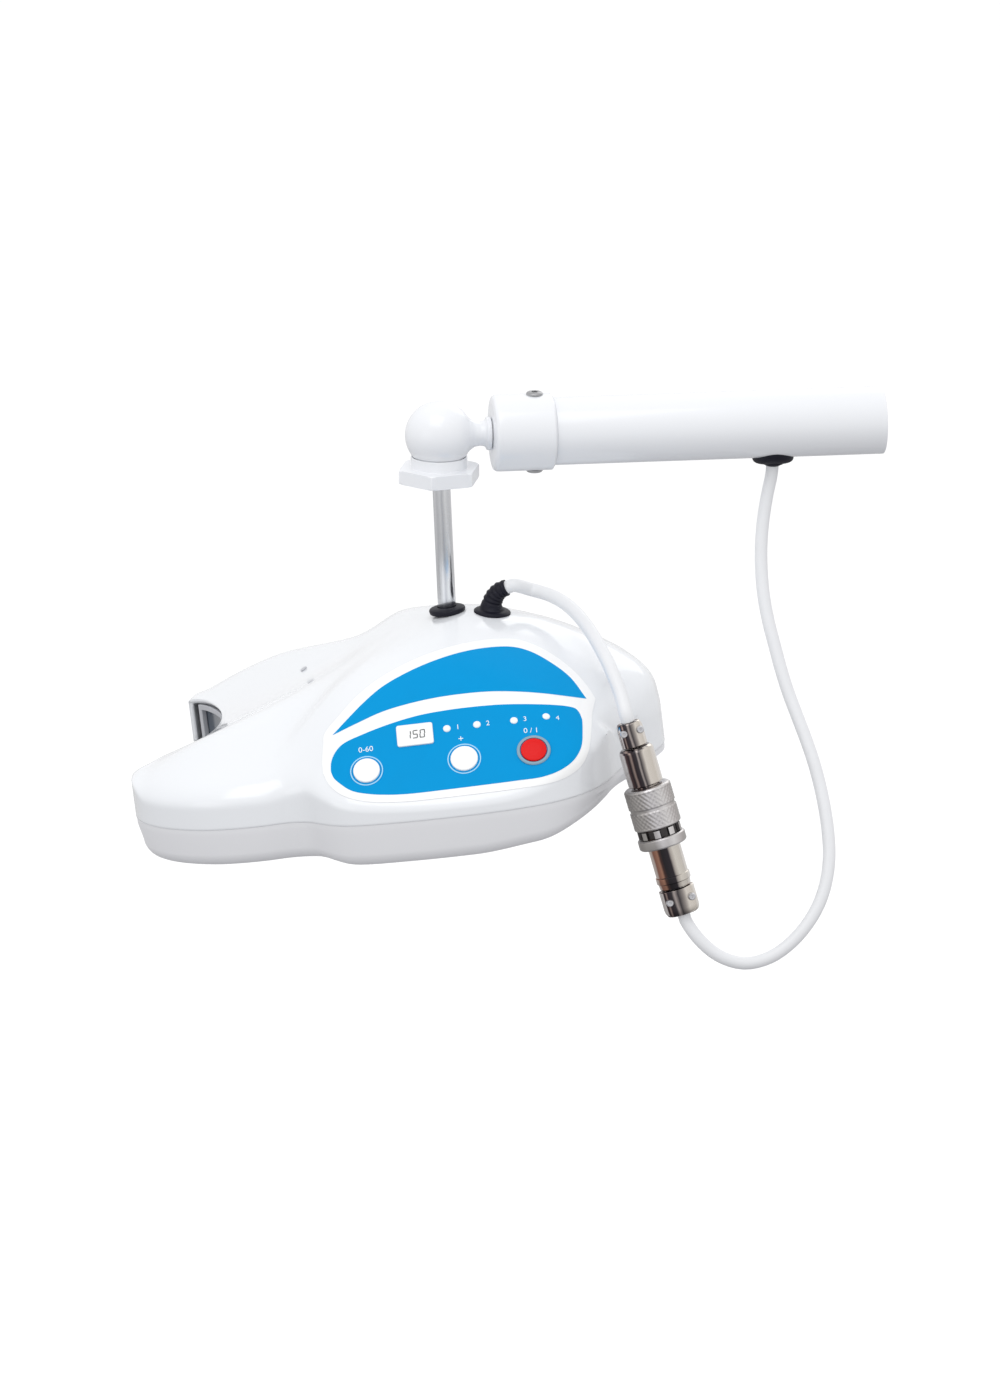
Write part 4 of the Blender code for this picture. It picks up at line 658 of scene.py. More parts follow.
def film(name, top, bottom, cols, rows, lift, thick, mat, replaces=(), slot=None):
    """A thin film between two chains of panel points that share their ends."""
    t = catmull(top, 500)
    b = catmull(bottom, 500)
    x = (1 - np.cos(np.linspace(0, pi, cols))) / 2
    x = 0.35 * x + 0.65 * np.linspace(0, 1, cols)

    def read(c):
        s = np.concatenate([[0], np.cumsum(np.linalg.norm(np.diff(c, axis=0), axis=1))])
        return np.stack([np.interp(x * s[-1], s, c[:, k]) for k in range(2)], 1)

    t, b = read(t), read(b)
    v, idx = [], []
    for i in range(cols):
        n = rows if 0 < i < cols - 1 else 1
        col = []
        for j in range(n):
            g = j / (rows - 1) if n > 1 else 0
            p = b[i] * (1 - g) + t[i] * g
            col.append(len(v))
            v.append(lay(p[0], p[1], lift)[0])
        idx.append(col if n > 1 else col * rows)
    f = []
    for i in range(cols - 1):
        for j in range(rows - 1):
            q = [idx[i][j], idx[i + 1][j], idx[i + 1][j + 1], idx[i][j + 1]]
            u = []
            for k in q:
                if k not in u:
                    u.append(k)
            if len(u) > 2:
                f.append(tuple(u))
    loop = [idx[i][0] for i in range(cols)] + [idx[i][-1] for i in range(cols - 2, 0, -1)]
    k = len(v)
    c = np.mean([v[i] for i in loop], axis=0)
    for i in loop:
        nor = TREE.find_nearest(Vector(v[i]))[1]
        nor = np.array(nor)
        if nor @ PN < 0:
            nor = -nor
        v.append(v[i] - nor * thick)
    m = len(loop)
    f += [(loop[(i + 1) % m], loop[i], k + i, k + (i + 1) % m) for i in range(m)]
    return place(name, v, f, mat, T_HEAD, "head", replaces, slot, smooth=50, closed=False)


PLATE_T = [(-50.6, 19.3), (-50.5, 25.5), (-49.5, 32.6), (-48.6, 38.2), (-42.2, 45.8), (-33.7, 54.5), (-24.5, 61.4), (-11.4, 68.0), (1.5, 72.3), (14.1, 74.7), (26.4, 75.4), (37.5, 74.2), (46.0, 70.3), (55.5, 62.7), (63.1, 54.0), (68.2, 45.4), (70.3, 40.5)]
PLATE_B = [(-50.6, 19.3), (-48.2, 13.1), (-43.2, 7.7), (-34.0, 3.6), (-23.7, 1.8), (-13.5, 1.0), (1.8, 0.9), (18.0, 1.0), (33.2, 1.3), (45.5, 2.0), (54.7, 4.4), (61.2, 8.8), (65.2, 15.8), (67.3, 25.9), (68.4, 34.0), (70.3, 40.5)]
KEYS_T = [(-47.1, 19.7), (-46.7, 23.8), (-44.8, 28.3), (-41.0, 32.3), (-31.0, 36.3), (-19.3, 39.7), (-7.3, 42.1), (4.6, 43.1), (16.5, 43.3), (28.3, 42.9), (39.6, 41.7), (51.5, 39.8), (58.1, 38.2), (61.2, 36.8), (62.7, 34.6), (63.7, 31.1)]
KEYS_B = [(-47.1, 19.7), (-46.1, 16.4), (-43.6, 13.3), (-38.8, 9.2), (-31.0, 6.6), (-23.3, 5.3), (-14.2, 4.6), (1.6, 4.6), (17.4, 4.8), (32.7, 5.1), (44.5, 5.6), (52.6, 8.0), (58.6, 12.1), (62.2, 18.0), (63.5, 26.7), (63.7, 31.1)]
CRES_T = [(-45.0, 37.3), (-38.3, 44.0), (-29.9, 51.9), (-21.6, 58.2), (-9.5, 64.1), (2.7, 68.2), (14.7, 70.7), (26.7, 71.4), (36.7, 70.3), (44.4, 66.9), (53.1, 60.0), (60.3, 52.2), (66.4, 41.0)]
CRES_B = [(-45.0, 37.3), (-34.5, 41.6), (-22.6, 46.0), (-10.7, 48.5), (1.2, 49.9), (13.1, 50.3), (24.9, 49.9), (36.2, 48.4), (47.9, 46.0), (59.5, 42.9), (66.4, 41.0)]
film("panel_film", PLATE_T, PLATE_B, 150, 70, 0.30, 0.6, M["plate"], ["label_panel"], "panel_blue")
film("panel_keys_blue", KEYS_T, KEYS_B, 140, 40, 0.42, 0.12, M["blue"], (), "panel_blue")
film("panel_crescent_blue", CRES_T, CRES_B, 130, 26, 0.42, 0.12, M["blue"], (), "panel_blue")


def panel_frame(s, t, d, tilt_to_skin=True):
    pos, nor = lay(s, t, 0.42, d)
    samples = [lay(s + 5 * cos(a), t + 5 * sin(a), 0.42, d)[0] for a in np.linspace(0, 2 * pi, 9)[:-1]]
    q = np.array(samples)
    c = q.mean(axis=0)
    _, _, vt = np.linalg.svd(q - c)
    z = vt[2] if vt[2] @ PN > 0 else -vt[2]
    x = unit(PA - z * (PA @ z))
    y = np.cross(z, x)
    return T_HEAD @ frame_of(pos, x, y, z)


BUTTONS = {"timer": (-31.6, 17.8, 0.3, 5.85, "white_key"), "set": (11.2, 18.3, 0.3, 6.0, "white_key"), "power": (41.6, 18.6, 0.3, 5.65, "red_key")}
for side, (s, t, d, r, look) in BUTTONS.items():
    here = panel_frame(s, t, d)
    prof = rounded([(0, -3.0), (r, -3.0), (r, 0.95), (r * 0.55, 1.3), (0, 1.42)], [0, 0, 0.6, 3, 0], 6)
    place(f"{side}_cap", *turned(prof, 64), M[look], here, f"{side}_button", [f"{side}_button"], "button_red" if side == "power" else "button_white")
    if side == "power":
        ring = [(r + 0.35, -0.1), (r + 1.75, -0.1), (r + 1.75, 0.3), (r + 1.2, 0.62), (r + 0.35, 0.62)]
        place("power_ring", *turned(rounded(ring + ring[:1], [0, 0, 0.2, 0.2, 0.2, 0], 3)[:-1], 72, closed=True), M["ring_grey"], here, "head", ["power_bezel"], "button_white")
    else:
        ring = [(r + 0.85, -0.1), (r + 1.35, -0.1), (r + 1.35, 0.22), (r + 0.85, 0.22)]
        place(f"{side}_ring", *turned(ring, 72, closed=True), M["pale_blue"], here, "head", [f"{side}_bezel"], "button_white")

# the display: a rounded white window with three plain digits
here = panel_frame(-9.3, 32.6, 0.3)


def round_rect(w, h, r, n=6):
    out = []
    for cx, cy, a0 in ((w / 2 - r, h / 2 - r, 0), (-w / 2 + r, h / 2 - r, 90), (-w / 2 + r, -h / 2 + r, 180), (w / 2 - r, -h / 2 + r, 270)):
        for k in range(n + 1):
            a = radians(a0 + 90 * k / n)
            out.append((cx + r * cos(a), cy + r * sin(a)))
    return out


DISP_ROT = [[cos(radians(0.3)), -sin(radians(0.3)), 0], [sin(radians(0.3)), cos(radians(0.3)), 0], [0, 0, 1]]
disp = place("display_pane", *moved(extruded(round_rect(16.0, 10.4, 1.1), -0.3, 0.75), rot=DISP_ROT), M["lcd"], here, "head", ["display_window"], "clear_lens")
bevel(disp, 0.3, 3)
SEGMENTS = {"0": "abcdef", "1": "bc", "2": "abged", "5": "afgcd", "8": "abcdefg"}


def digit(ch, cx, cy, w, h, t):
    parts = []
    bars = {"a": (0, h / 2, w, t), "g": (0, 0, w, t), "d": (0, -h / 2, w, t), "f": (-w / 2, h / 4, t, h / 2), "b": (w / 2, h / 4, t, h / 2), "e": (-w / 2, -h / 4, t, h / 2), "c": (w / 2, -h / 4, t, h / 2)}
    for k in SEGMENTS[ch]:
        x, y, a, b = bars[k]
        a, b = a - 0.12 if a > b else a, b - 0.12 if b > a else b
        sl = 0.12 * y
        o = [(-a / 2, -b / 2), (a / 2, -b / 2), (a / 2, b / 2), (-a / 2, b / 2)]
        parts.append(extruded([(cx + x + px + sl, cy + y + py) for px, py in o], 0.70, 0.80))
    return parts


dg = digit("1", -2.9, 0, 1.9, 3.6, 0.42) + digit("5", 0.2, 0, 1.9, 3.6, 0.42) + digit("0", 3.3, 0, 1.9, 3.6, 0.42)
place("display_digits", *moved(joined(*dg), rot=DISP_ROT), M["ink"], here, "head", (), "black_plastic")

for k, (s, t) in enumerate([(4.8, 34.0), (18.0, 34.3), (34.2, 34.2), (48.2, 35.5)]):
    here = panel_frame(s, t, 0.2 if s < 45 else -2.0)
    place(f"indicator_dome_{k + 1}", *turned([(0, -0.8), (1.7, -0.8), (1.7, 0.15), (1.5, 0.4), (1.05, 0.58), (0.5, 0.67), (0, 0.7)], 28), M["lamp"], here, "head", [f"indicator_light_{k + 1}"], "clear_lens")


def text_marks(name, body_text, s, t, size, d=0.0, bold=0.0):
    """Plain numerals laid on the film."""
    cu = bpy.data.curves.new(name, "FONT")
    cu.body = body_text
    cu.size = size
    cu.align_x, cu.align_y = "CENTER", "CENTER"
    cu.extrude = 0.05
    cu.offset = bold
    tmp = bpy.data.objects.new(name, cu)
    bpy.context.scene.collection.objects.link(tmp)
    bpy.context.view_layer.update()
    me = bpy.data.meshes.new_from_object(tmp)
    bpy.data.objects.remove(tmp)
    v = [tuple(p.co) for p in me.vertices]
    f = [tuple(p.vertices) for p in me.polygons]
    bpy.data.meshes.remove(me)
    here = panel_frame(s, t, d)
    r = radians(0.3)
    v = [(x * cos(r) - y * sin(r), x * sin(r) + y * cos(r), z + 0.08) for x, y, z in v]
    return place(name, v, f, M["mark"], here, "head", (), "button_white", closed=False)


for k, (s, t, n) in enumerate([(9.6, 34.1, "1"), (22.8, 34.3, "2"), (39.0, 34.3, "3"), (53.0, 34.6, "4")]):
    text_marks(f"mark_light_{n}", n, s, t, 3.4, 0.2 if s < 45 else -3.0)
text_marks("mark_timer", "0-60", -31.2, 28.2, 3.6, 0.3)
text_marks("mark_set", "+", 10.5, 28.1, 4.4, 0.3)
text_marks("mark_power", "0 / 1", 41.2, 28.4, 3.6, 0.1)


# a small plugged screw hole on the far arm's crest
_ray = Vector(unit(CV + CR * ((304 - 500) * PIX / DIST) + CU * ((700 - 669.5) * PIX / DIST)))
_ray = (INV_HEAD.to_3x3() @ _ray).normalized()
_hit, _nor, _, _ = TREE.ray_cast(Vector(CAM_H), _ray)
_nz = unit(np.array(_nor))
_nx = unit(np.cross([0, 1, 0], _nz))
place("arm_plug", *turned(rounded([(0, -0.6), (1.5, -0.6), (1.5, 0.15), (1.1, 0.22), (0.9, -0.1), (0, -0.1)], [0, 0, 0.1, 0.1, 0.1, 0], 3), 32), M["frame"], T_HEAD @ frame_of(np.array(_hit), _nx, np.cross(_nz, _nx), _nz), "head", (), "window_grey")

# ------------------------------------------------------------------ light window
def arc_bar(r0, r1, half, z0, z1, n=60):
    th = np.linspace(-half, half, n)
    v, f = [], []
    for a in th:
        za = z0(a) if callable(z0) else z0
        zb = z1(a) if callable(z1) else z1
        for r, z in ((r0, za), (r1, za), (r1, zb), (r0, zb)):
            v.append((ARC_C + r * cos(radians(a)), r * sin(radians(a)), z))
    for i in range(n - 1):
        for k in range(4):
            f.append((4 * i + k, 4 * i + (k + 1) % 4, 4 * i + 4 + (k + 1) % 4, 4 * i + 4 + k))
    f += [(3, 2, 1, 0), (4 * n - 4, 4 * n - 3, 4 * n - 2, 4 * n - 1)]
    return v, f


def framed_arc(r0, r1, half, z0, top, border, n=60):
    th = np.concatenate([[-half], np.linspace(-half + border / ARC_R * 57.3, half - border / ARC_R * 57.3, n), [half]])
    cols = len(th)
    v, idx = [], {}
    for i, a in enumerate(th):
        zt = top(a)
        for k, z in enumerate((z0, z0 + border, zt - border, zt)):
            for m, r in enumerate((r0, r1)):
                idx[i, k, m] = len(v)
                v.append((ARC_C + r * cos(radians(a)), r * sin(radians(a)), z))
    f = []

    def solid(i, k):
        return 0 <= i < cols - 1 and 0 <= k < 3 and not (k == 1 and 0 < i < cols - 2)

    for i in range(cols - 1):
        for k in range(3):
            if not solid(i, k):
                continue
            f.append((idx[i, k, 0], idx[i, k + 1, 0], idx[i + 1, k + 1, 0], idx[i + 1, k, 0]))
            f.append((idx[i, k, 1], idx[i + 1, k, 1], idx[i + 1, k + 1, 1], idx[i, k + 1, 1]))
            if not solid(i - 1, k):
                f.append((idx[i, k, 0], idx[i, k, 1], idx[i, k + 1, 1], idx[i, k + 1, 0]))
            if not solid(i + 1, k):
                f.append((idx[i + 1, k, 0], idx[i + 1, k + 1, 0], idx[i + 1, k + 1, 1], idx[i + 1, k, 1]))
            if not solid(i, k - 1):
                f.append((idx[i, k, 0], idx[i + 1, k, 0], idx[i + 1, k, 1], idx[i, k, 1]))
            if not solid(i, k + 1):
                f.append((idx[i, k + 1, 0], idx[i, k + 1, 1], idx[i + 1, k + 1, 1], idx[i + 1, k + 1, 0]))
    return v, f


def ceiling(a):
    return float(top_z(ARC_C + ARC_R * cos(radians(a)), ARC_R * sin(radians(a)))) - WALL - 0.5


wf = place("window_surround", *framed_arc(ARC_R + 0.5, ARC_R + 3.0, 46.3, WALL + 0.5, ceiling, 2.6), M["frame"], T_HEAD, "head", ["window_frame"], "window_grey")
bevel(wf, 0.35, 2)
place("window_pane", *arc_bar(ARC_R + 3.1, ARC_R + 5.6, 45.6, WALL + 1.0, lambda a: ceiling(a) - 0.4), M["lens"], T_HEAD, "head", ["arc_lens"], "dark_lens")

# ------------------------------------------------------------------ arm
tube_prof = rounded([(13.2, 0.0), (15.0, 0.0), (15.0, -147.22), (13.2, -147.22)] + [(13.2, 0.0)], [0, 0.35, 0.35, 0, 0], 3)[:-1]
place("tube_skin", *turned(tube_prof, 96, closed=True), M["paint"], T_TUBE, "arm", ["arm_tube"], "arm_paint")
CX = -147.3
collar_prof = [(6.4, CX - 27.5), (9.0, CX - 27.5), (13.6, CX - 27.35), (16.1, CX - 26.9), (16.9, CX - 25.8), (17.0, CX - 24.0), (17.0, CX - 1.0), (15.3, CX), (12.9, CX), (12.9, CX + 12.3), (6.4, CX + 12.3)]
place("collar_skin", *turned(rounded(collar_prof + collar_prof[:1], [0, 0.6, 2.0, 1.2, 1.2, 1.5, 0.8, 0.3, 0, 0.3, 0.3, 0], 5)[:-1], 96, closed=True), M["paint"], T_TUBE, "arm", ["tube_collar"], "arm_paint")


def screw_head(r, h, sock, depth, base):
    """Low button head with a hexagon socket, on a short shank."""
    n = 48

    def hexr(rr, a, z):
        if rr > sock + 1e-3:
            return rr
        k = a % (pi / 3) - pi / 6
        return sock * cos(pi / 6) / cos(k) if rr > sock - 1e-3 else rr

    prof = [(0, base), (r * 0.55, base), (r * 0.55, -0.2), (r, -0.2), (r, h * 0.45), (r * 0.9, h * 0.78), (r * 0.72, h), (sock + 0.05, h), (sock, h - 0.05), (sock, h - depth), (0, h - depth)]
    return turned(prof, n, radius=hexr)


up_m = Matrix.Identity(4)
for nm, sgn in (("top", 1), ("bottom", -1)):
    fr = frame_of((-155.6, 0, 17.0 * sgn), (1, 0, 0), (0, sgn, 0), (0, 0, sgn))
    place(f"collar_bolt_{nm}", *screw_head(3.7, 1.25, 1.5, 0.8, -6.0), M["screw"], fr, "arm", [f"collar_screw_{nm}"], "collar_screws")

# saddle grommet under the tube: its upper side follows the tube, and the cable's neck comes out of it
gx = -49.0
v, f = [], []
nr, na = 14, 64
for i in range(nr + 1):
    g = i / nr
    for k in range(na):
        a = 2 * pi * k / na
        rr = 9.2 * sin(g * pi / 2) if i else 0.0
        x, y = rr * cos(a), rr * sin(a)
        ztube = -sqrt(max(15.0**2 - y * y, 0))
        drop = 2.9 * (max(0.0, 1 - (rr / 9.2) ** 4.0)) ** 0.5
        v.append((x, y, ztube - 0.35 - drop - 0.9 * (rr / 9.2) ** 4 * 0.2))
k0 = len(v)
for k in range(na):
    a = 2 * pi * k / na
    x, y = 9.3 * cos(a), 9.3 * sin(a)
    v.append((x, y, -sqrt(max(15.0**2 - y * y, 0)) - 0.05))
for k in range(na):
    a = 2 * pi * k / na
    x, y = 8.6 * cos(a), 8.6 * sin(a)
    v.append((x, y, -sqrt(max(15.0**2 - y * y, 0)) + 0.3))
for i in range(nr):
    for k in range(na):
        j = (k + 1) % na
        f.append((i * na + k, (i + 1) * na + k, (i + 1) * na + j, i * na + j))
for k in range(na):
    j = (k + 1) % na
    f.append((nr * na + k, k0 + k, k0 + j, nr * na + j))
    f.append((k0 + k, k0 + na + k, k0 + na + j, k0 + j))
neck = turned(rounded([(0, -19.0), (3.1, -19.0), (3.7, -18.6), (5.0, -18.0), (5.0, -16.0), (0, -16.0)], [0, 0.3, 0.4, 0.5, 0, 0], 4), 40)
place("tube_grommet_body", *joined((v, f), neck), M["rubber"], shift(WORLD, gx), "arm", ["cable_grommet"], "black_rubber", smooth=50)

# ------------------------------------------------------------------ ball, stem and clamp nut
sph = [(15.0 * sin(a), -15.0 * cos(a)) for a in np.linspace(0, pi - asin(8.2 / 15.0), 60)]
sph[0] = (0, -15.0)
stem_prof = sph + rounded([(7.3, 13.3), (5.7, 15.6), (5.3, 18.2), (5.7, 20.3), (7.4, 21.1), (7.4, 22.8), (6.0, 22.9), (6.0, 63.2), (5.0, 63.6), (5.0, 71.5), (0, 72.0)], [0, 3, 3, 1.5, 0.4, 0.3, 0, 0, 0, 0, 0], 5)
ball = place("ball_skin", *turned(stem_prof, 96), M["paint"], T_STEM, "ball_housing", ["ball_housing"], "arm_paint")
cut_v, cut_f = turned([(0, 10.2)] + [(10.2 * sin(a), 10.2 * cos(a)) for a in np.linspace(0, pi / 2, 20)[1:]] + [(10.2, -17), (0, -17)], 72)
cutter = bpy.data.meshes.new("ball_mouth")
_v = np.array(cut_v, float)
if signed_volume(_v, cut_f) < 0:
    cut_f = [tuple(reversed(q)) for q in cut_f]
_w = np.array(T_BALL)
cutter.from_pydata((_v @ _w[:3, :3].T * MM + _w[:3, 3]).tolist(), [], cut_f)
cob = bpy.data.objects.new("ball_mouth", cutter)
bpy.context.scene.collection.objects.link(cob)
bm_mod = ball.modifiers.new("mouth", "BOOLEAN")
bm_mod.operation, bm_mod.solver, bm_mod.object = "DIFFERENCE", "EXACT", cob
dg_ = bpy.context.evaluated_depsgraph_get()
new_me = bpy.data.meshes.new_from_object(ball.evaluated_get(dg_))
ball.modifiers.clear()
ball.data = new_me
ball.data.set_sharp_from_angle(angle=radians(40))
bpy.data.objects.remove(cob)

NUT_R, NUT_PHASE = 18.9, radians(12.5)


def hexagon(r, a, z):
    k = (a - NUT_PHASE) % (pi / 3) - pi / 6
    side = NUT_R * cos(pi / 6) / cos(k)
    return min(side, r) if r > 15.2 else r


nut_prof = [(7.9, -8.4), (9.9, -8.4), (9.9, -11.5), (10.6, -11.1), (12.1, -9.35), (12.5, -9.7), (12.5, -14.0), (12.7, -14.3), (15.3, -14.3), (17.9, -14.35), (18.6, -14.75), (19.4, -15.3), (19.4, -19.9), (18.9, -20.35), (18.0, -20.7), (15.3, -20.7), (13.1, -20.7)]
nut = place("clamp_nut_skin", *turned(nut_prof, 144, phase=NUT_PHASE, closed=True, radius=hexagon), M["paint"], T_BALL, "ball_housing", ["clamp_nut"], "arm_paint", smooth=28)
bevel(nut, 0.35, 3, 28)

# ------------------------------------------------------------------ rod and the pieces round it
rod_prof = [(0, 9.8)] + [(9.8 * sin(a), 9.8 * cos(a)) for a in np.linspace(0, pi - asin(4.0 / 9.8), 40)[1:]] + [(4.0, -ROD_LEN - 31.5), (3.2, -ROD_LEN - 32.5), (0, -ROD_LEN - 32.5)]
place("rod_skin", *turned(rod_prof, 64), M["rod"], T_ROD, "drop_rod", ["drop_rod"], "chrome")
gp = rounded([(4.7, 82.0), (5.6, 82.0), (5.6, 84.4), (7.8, 84.5), (8.1, 85.9), (7.8, 86.6), (6.6, 87.05), (5.2, 87.25), (4.3, 87.3), (4.3, 84.0)], [0, 0, 0, 0.3, 0.5, 0.8, 0.8, 0.5, 0.2, 0], 4)
place("rod_grommet_skin", *turned(gp, 64, closed=True), M["rubber"], T_HEAD, "head", ["rod_grommet"], "black_rubber")

BOOT_L, BOOT_Z = 20.6, 85.6
BOOT_PATH = [(0, 0), (1.0, 2.2), (2.8, 4.4), (5.0, 5.9), (7.4, 6.6)]
bp_ = catmull([(-0.7, -2.9), (-0.5, -1.4)] + BOOT_PATH, 60)
bs = np.concatenate([[0], np.cumsum(np.hypot(*np.diff(bp_, axis=0).T))])
v, f, rings = [], [], []
nb, ns = 40, 90
for i in range(ns):
    u = i / (ns - 1)
    x = np.interp(u * bs[-1], bs, bp_[:, 0])
    z = np.interp(u * bs[-1], bs, bp_[:, 1])
    x2 = np.interp(min(1, u + 0.02) * bs[-1], bs, bp_[:, 0]) - np.interp(max(0, u - 0.02) * bs[-1], bs, bp_[:, 0])
    z2 = np.interp(min(1, u + 0.02) * bs[-1], bs, bp_[:, 1]) - np.interp(max(0, u - 0.02) * bs[-1], bs, bp_[:, 1])
    a = np.array([x2, z2]) / np.hypot(x2, z2)
    nrm = np.array([a[1], -a[0]])
    rib = 0.5 * (0.5 + 0.5 * cos(u * bs[-1] / 1.9 * 2 * pi)) if 0.20 < u < 0.95 else 0.0
    rad = 4.9 - 1.25 * u - rib * 0.8 + 1.2 * max(0, 1 - u / 0.18) ** 2
    rings.append([])
    for k in range(nb):
        t = 2 * pi * k / nb
        rings[-1].append(len(v))
        v.append((x + nrm[0] * rad * cos(t), rad * sin(t), z + nrm[1] * rad * cos(t) + 1.6))
f = [tuple(rings[0]), tuple(reversed(rings[-1]))]
for a, b in zip(rings[:-1], rings[1:]):
    f += [(a[k], b[k], b[(k + 1) % nb], a[(k + 1) % nb]) for k in range(nb)]
# its foot lies on the skin, at the skin's own slope
_fz, _fn, _, _ = TREE.ray_cast(Vector((BOOT_L - 0.4, 0.0, 120.0)), Vector((0, 0, -1)))
_fn = unit(np.array([_fn[0], 0.0, _fn[2]])) * (1 if _fn[2] > 0 else -1)
_fx = np.array([_fn[2], 0.0, -_fn[0]])
flange = turned(rounded([(0, -0.9), (8.1, -0.9), (8.2, 0.35), (7.3, 0.95), (5.2, 1.5), (0, 1.6)], [0, 0.2, 0.4, 0.8, 0.5, 0], 4), 64)
flange = moved(flange, BOOT_L - 0.4 - BOOT_L, 0, _fz[2] - BOOT_Z, [[_fx[0], 0, _fn[0]], [0, 1, 0], [_fx[2], 0, _fn[2]]])
stem_ = turned([(0, -6.5), (4.0, -6.5), (4.0, -1.0), (0, -1.0)], 32)
place("strain_relief_skin", *joined((v, f), flange, stem_), M["rubber"], shift(T_HEAD, BOOT_L, 0, BOOT_Z), "head", ["strain_relief"], "black_rubber", smooth=45)
_curve = catmull(BOOT_PATH, 7)
_tip = np.array([_curve[-1][0] + BOOT_L, 0.0, _curve[-1][1] + BOOT_Z + 1.6])
_dir = unit(np.array([_curve[-1][0] - _curve[-2][0], 0.0, _curve[-1][1] - _curve[-2][1]]))
CABLE_UP_START = head_pt(*(_tip + _dir * 0.35))
CABLE_UP_DIR = HL * _dir[0] + HN * _dir[2]


# ------------------------------------------------------------------ connector
def knurl(r, a, z):
    if r < 9.4:
        return r
    return r - 0.11 * (0.5 + 0.5 * cos(30 * a + 2.6 * z)) - 0.11 * (0.5 + 0.5 * cos(30 * a - 2.6 * z))


def screw_on(x, z, hy, r):
    sc = screw_head(r, 1.5, r * 0.3, 0.6, -1.2)
    slot = moved(extruded([(-r * 0.8, -0.25), (r * 0.8, -0.25), (r * 0.8, 0.25), (-r * 0.8, 0.25)], 1.35, 1.55), 0, 0, 0)
    rot = [[1, 0, 0], [0, 0, -1], [0, 1, 0]]
    return moved(sc, x, -hy - 0.1, z, rot)


def clamp(z0, z1, hx, hy, free_top):
    """Two saddle halves drawn together over the cable, rounded at the free end, with a gap between them."""
    parts = []
    levels = [(0.0, 0.80), (0.05, 0.90), (0.14, 0.97), (0.26, 1.0), (1.0, 1.0)]
    if free_top:
        levels = [(1 - g, k) for g, k in reversed(levels)]
    for sy in (-1, 1):
        pts = [(-hx, 0.45), (-hx, 1.6)] + [(-(hx - 0.5) * cos(a), 1.6 + (hy - 1.6) * sin(a) ** 0.8) for a in np.linspace(0.12, pi - 0.12, 19)] + [(hx, 1.6), (hx, 0.45)]
        v, f = [], []
        n = len(pts)
        for g, k in levels:
            v += [(x * k, (0.45 + (y - 0.45) * k) * sy, z0 + (z1 - z0) * g) for x, y in pts]
        m = len(levels)
        f = [tuple(range(n))[::-1], tuple(range((m - 1) * n, m * n))]
        for q in range(m - 1):
            f += [(q * n + i, q * n + (i + 1) % n, (q + 1) * n + (i + 1) % n, (q + 1) * n + i) for i in range(n)]
        parts.append((v, f))
    parts.append(extruded([(3.5 * cos(a), 3.5 * sin(a)) for a in np.linspace(0, 2 * pi, 33)[:-1]], z0 + 0.4, z1 - 0.4))
    return joined(*parts)


cl = place("clamp_upper_skin", *clamp(-10.9, 0.0, 5.6, 4.9, True), M["nickel"], T_CON, "drop_rod", ["cable_clamp_upper"], "nickel", smooth=30)
bevel(cl, 0.35, 2, 30)
pb = rounded([(0, -28.9), (4.7, -28.9), (4.7, -45.0), (5.6, -45.0), (5.6, -28.6), (7.0, -28.6), (7.7, -28.0), (7.7, -13.0), (7.3, -12.2), (6.2, -11.4), (0, -11.4)], [0, 0, 0, 0, 0, 0, 0.4, 0.5, 0.5, 0.5, 0], 4)
place("plug_barrel_skin", *turned(pb, 72), M["nickel"], T_CON, "drop_rod", ["plug_barrel"], "nickel")
zs = np.linspace(-30.6, -46.6, 50)
cn = [(5.9, -29.3), (9.6, -29.3), (10.3, -29.9), (10.5, -30.5)] + [(10.5, z) for z in zs] + [(10.5, -46.8), (10.3, -47.3), (9.6, -47.8), (8.2, -47.8), (8.2, -30.6), (5.9, -30.4)]


def nut_r(r, a, z):
    if r < 9.7 or not (-46.7 < z < -30.55):
        return r
    if -39.6 < z < -38.0:
        return r - 0.55
    return knurl(r, a, z)


place("coupling_nut_skin", *turned(cn, 240, closed=True, radius=nut_r), M["satin_nickel"], T_CON, "coupling_nut", ["coupling_nut"], "nickel", smooth=60)


def castle(r, a, z):
    return r - (1.1 if (r > 8.5 and cos(9 * a + 0.6) > -0.15) else 0.0)


_lv, _lf = turned([(7.7, -48.2), (9.7, -48.2), (9.7, -51.5), (7.7, -51.5)], 160, closed=True, radius=castle)
_lr = [1 if np.mean([np.hypot(_lv[i][0], _lv[i][1]) for i in q]) < 9.25 else 0 for q in _lf]
place("lock_ring_skin", _lv, _lf, None, T_CON, "drop_rod", ["lock_ring"], "dark_ring", smooth=25, groups=_lr, mats=[M["satin_nickel"], M["dark_metal"]])
rp = [(7.7, -51.8), (9.9, -51.8), (10.6, -52.4), (10.6, -55.9), (10.1, -56.5), (7.7, -56.5)]
place("receptacle_ring_skin", *turned(rounded(rp + rp[:1], [0, 0.3, 0.4, 0.4, 0.3, 0, 0], 3)[:-1], 96, closed=True), M["satin_nickel"], T_CON, "drop_rod", ["receptacle_ring"], "nickel")
rb = rounded([(0, -76.0), (6.4, -76.0), (6.9, -75.3), (7.1, -73.2), (7.6, -72.9), (7.6, -70.3), (7.15, -69.9), (7.15, -57.0), (7.35, -56.9), (7.35, -36.0), (6.0, -36.0), (6.0, -46.6), (0, -46.6)], [0, 0.5, 0.4, 0.2, 0.3, 0.3, 0.1, 0, 0, 0, 0, 0, 0], 4)
place("receptacle_barrel_skin", *turned(rb, 72), M["nickel_painted_warm_reflections"], T_CON, "drop_rod", ["receptacle_barrel"], "nickel")
CON_LEN = float(np.linalg.norm(CON_TOP - CON_BOTTOM))
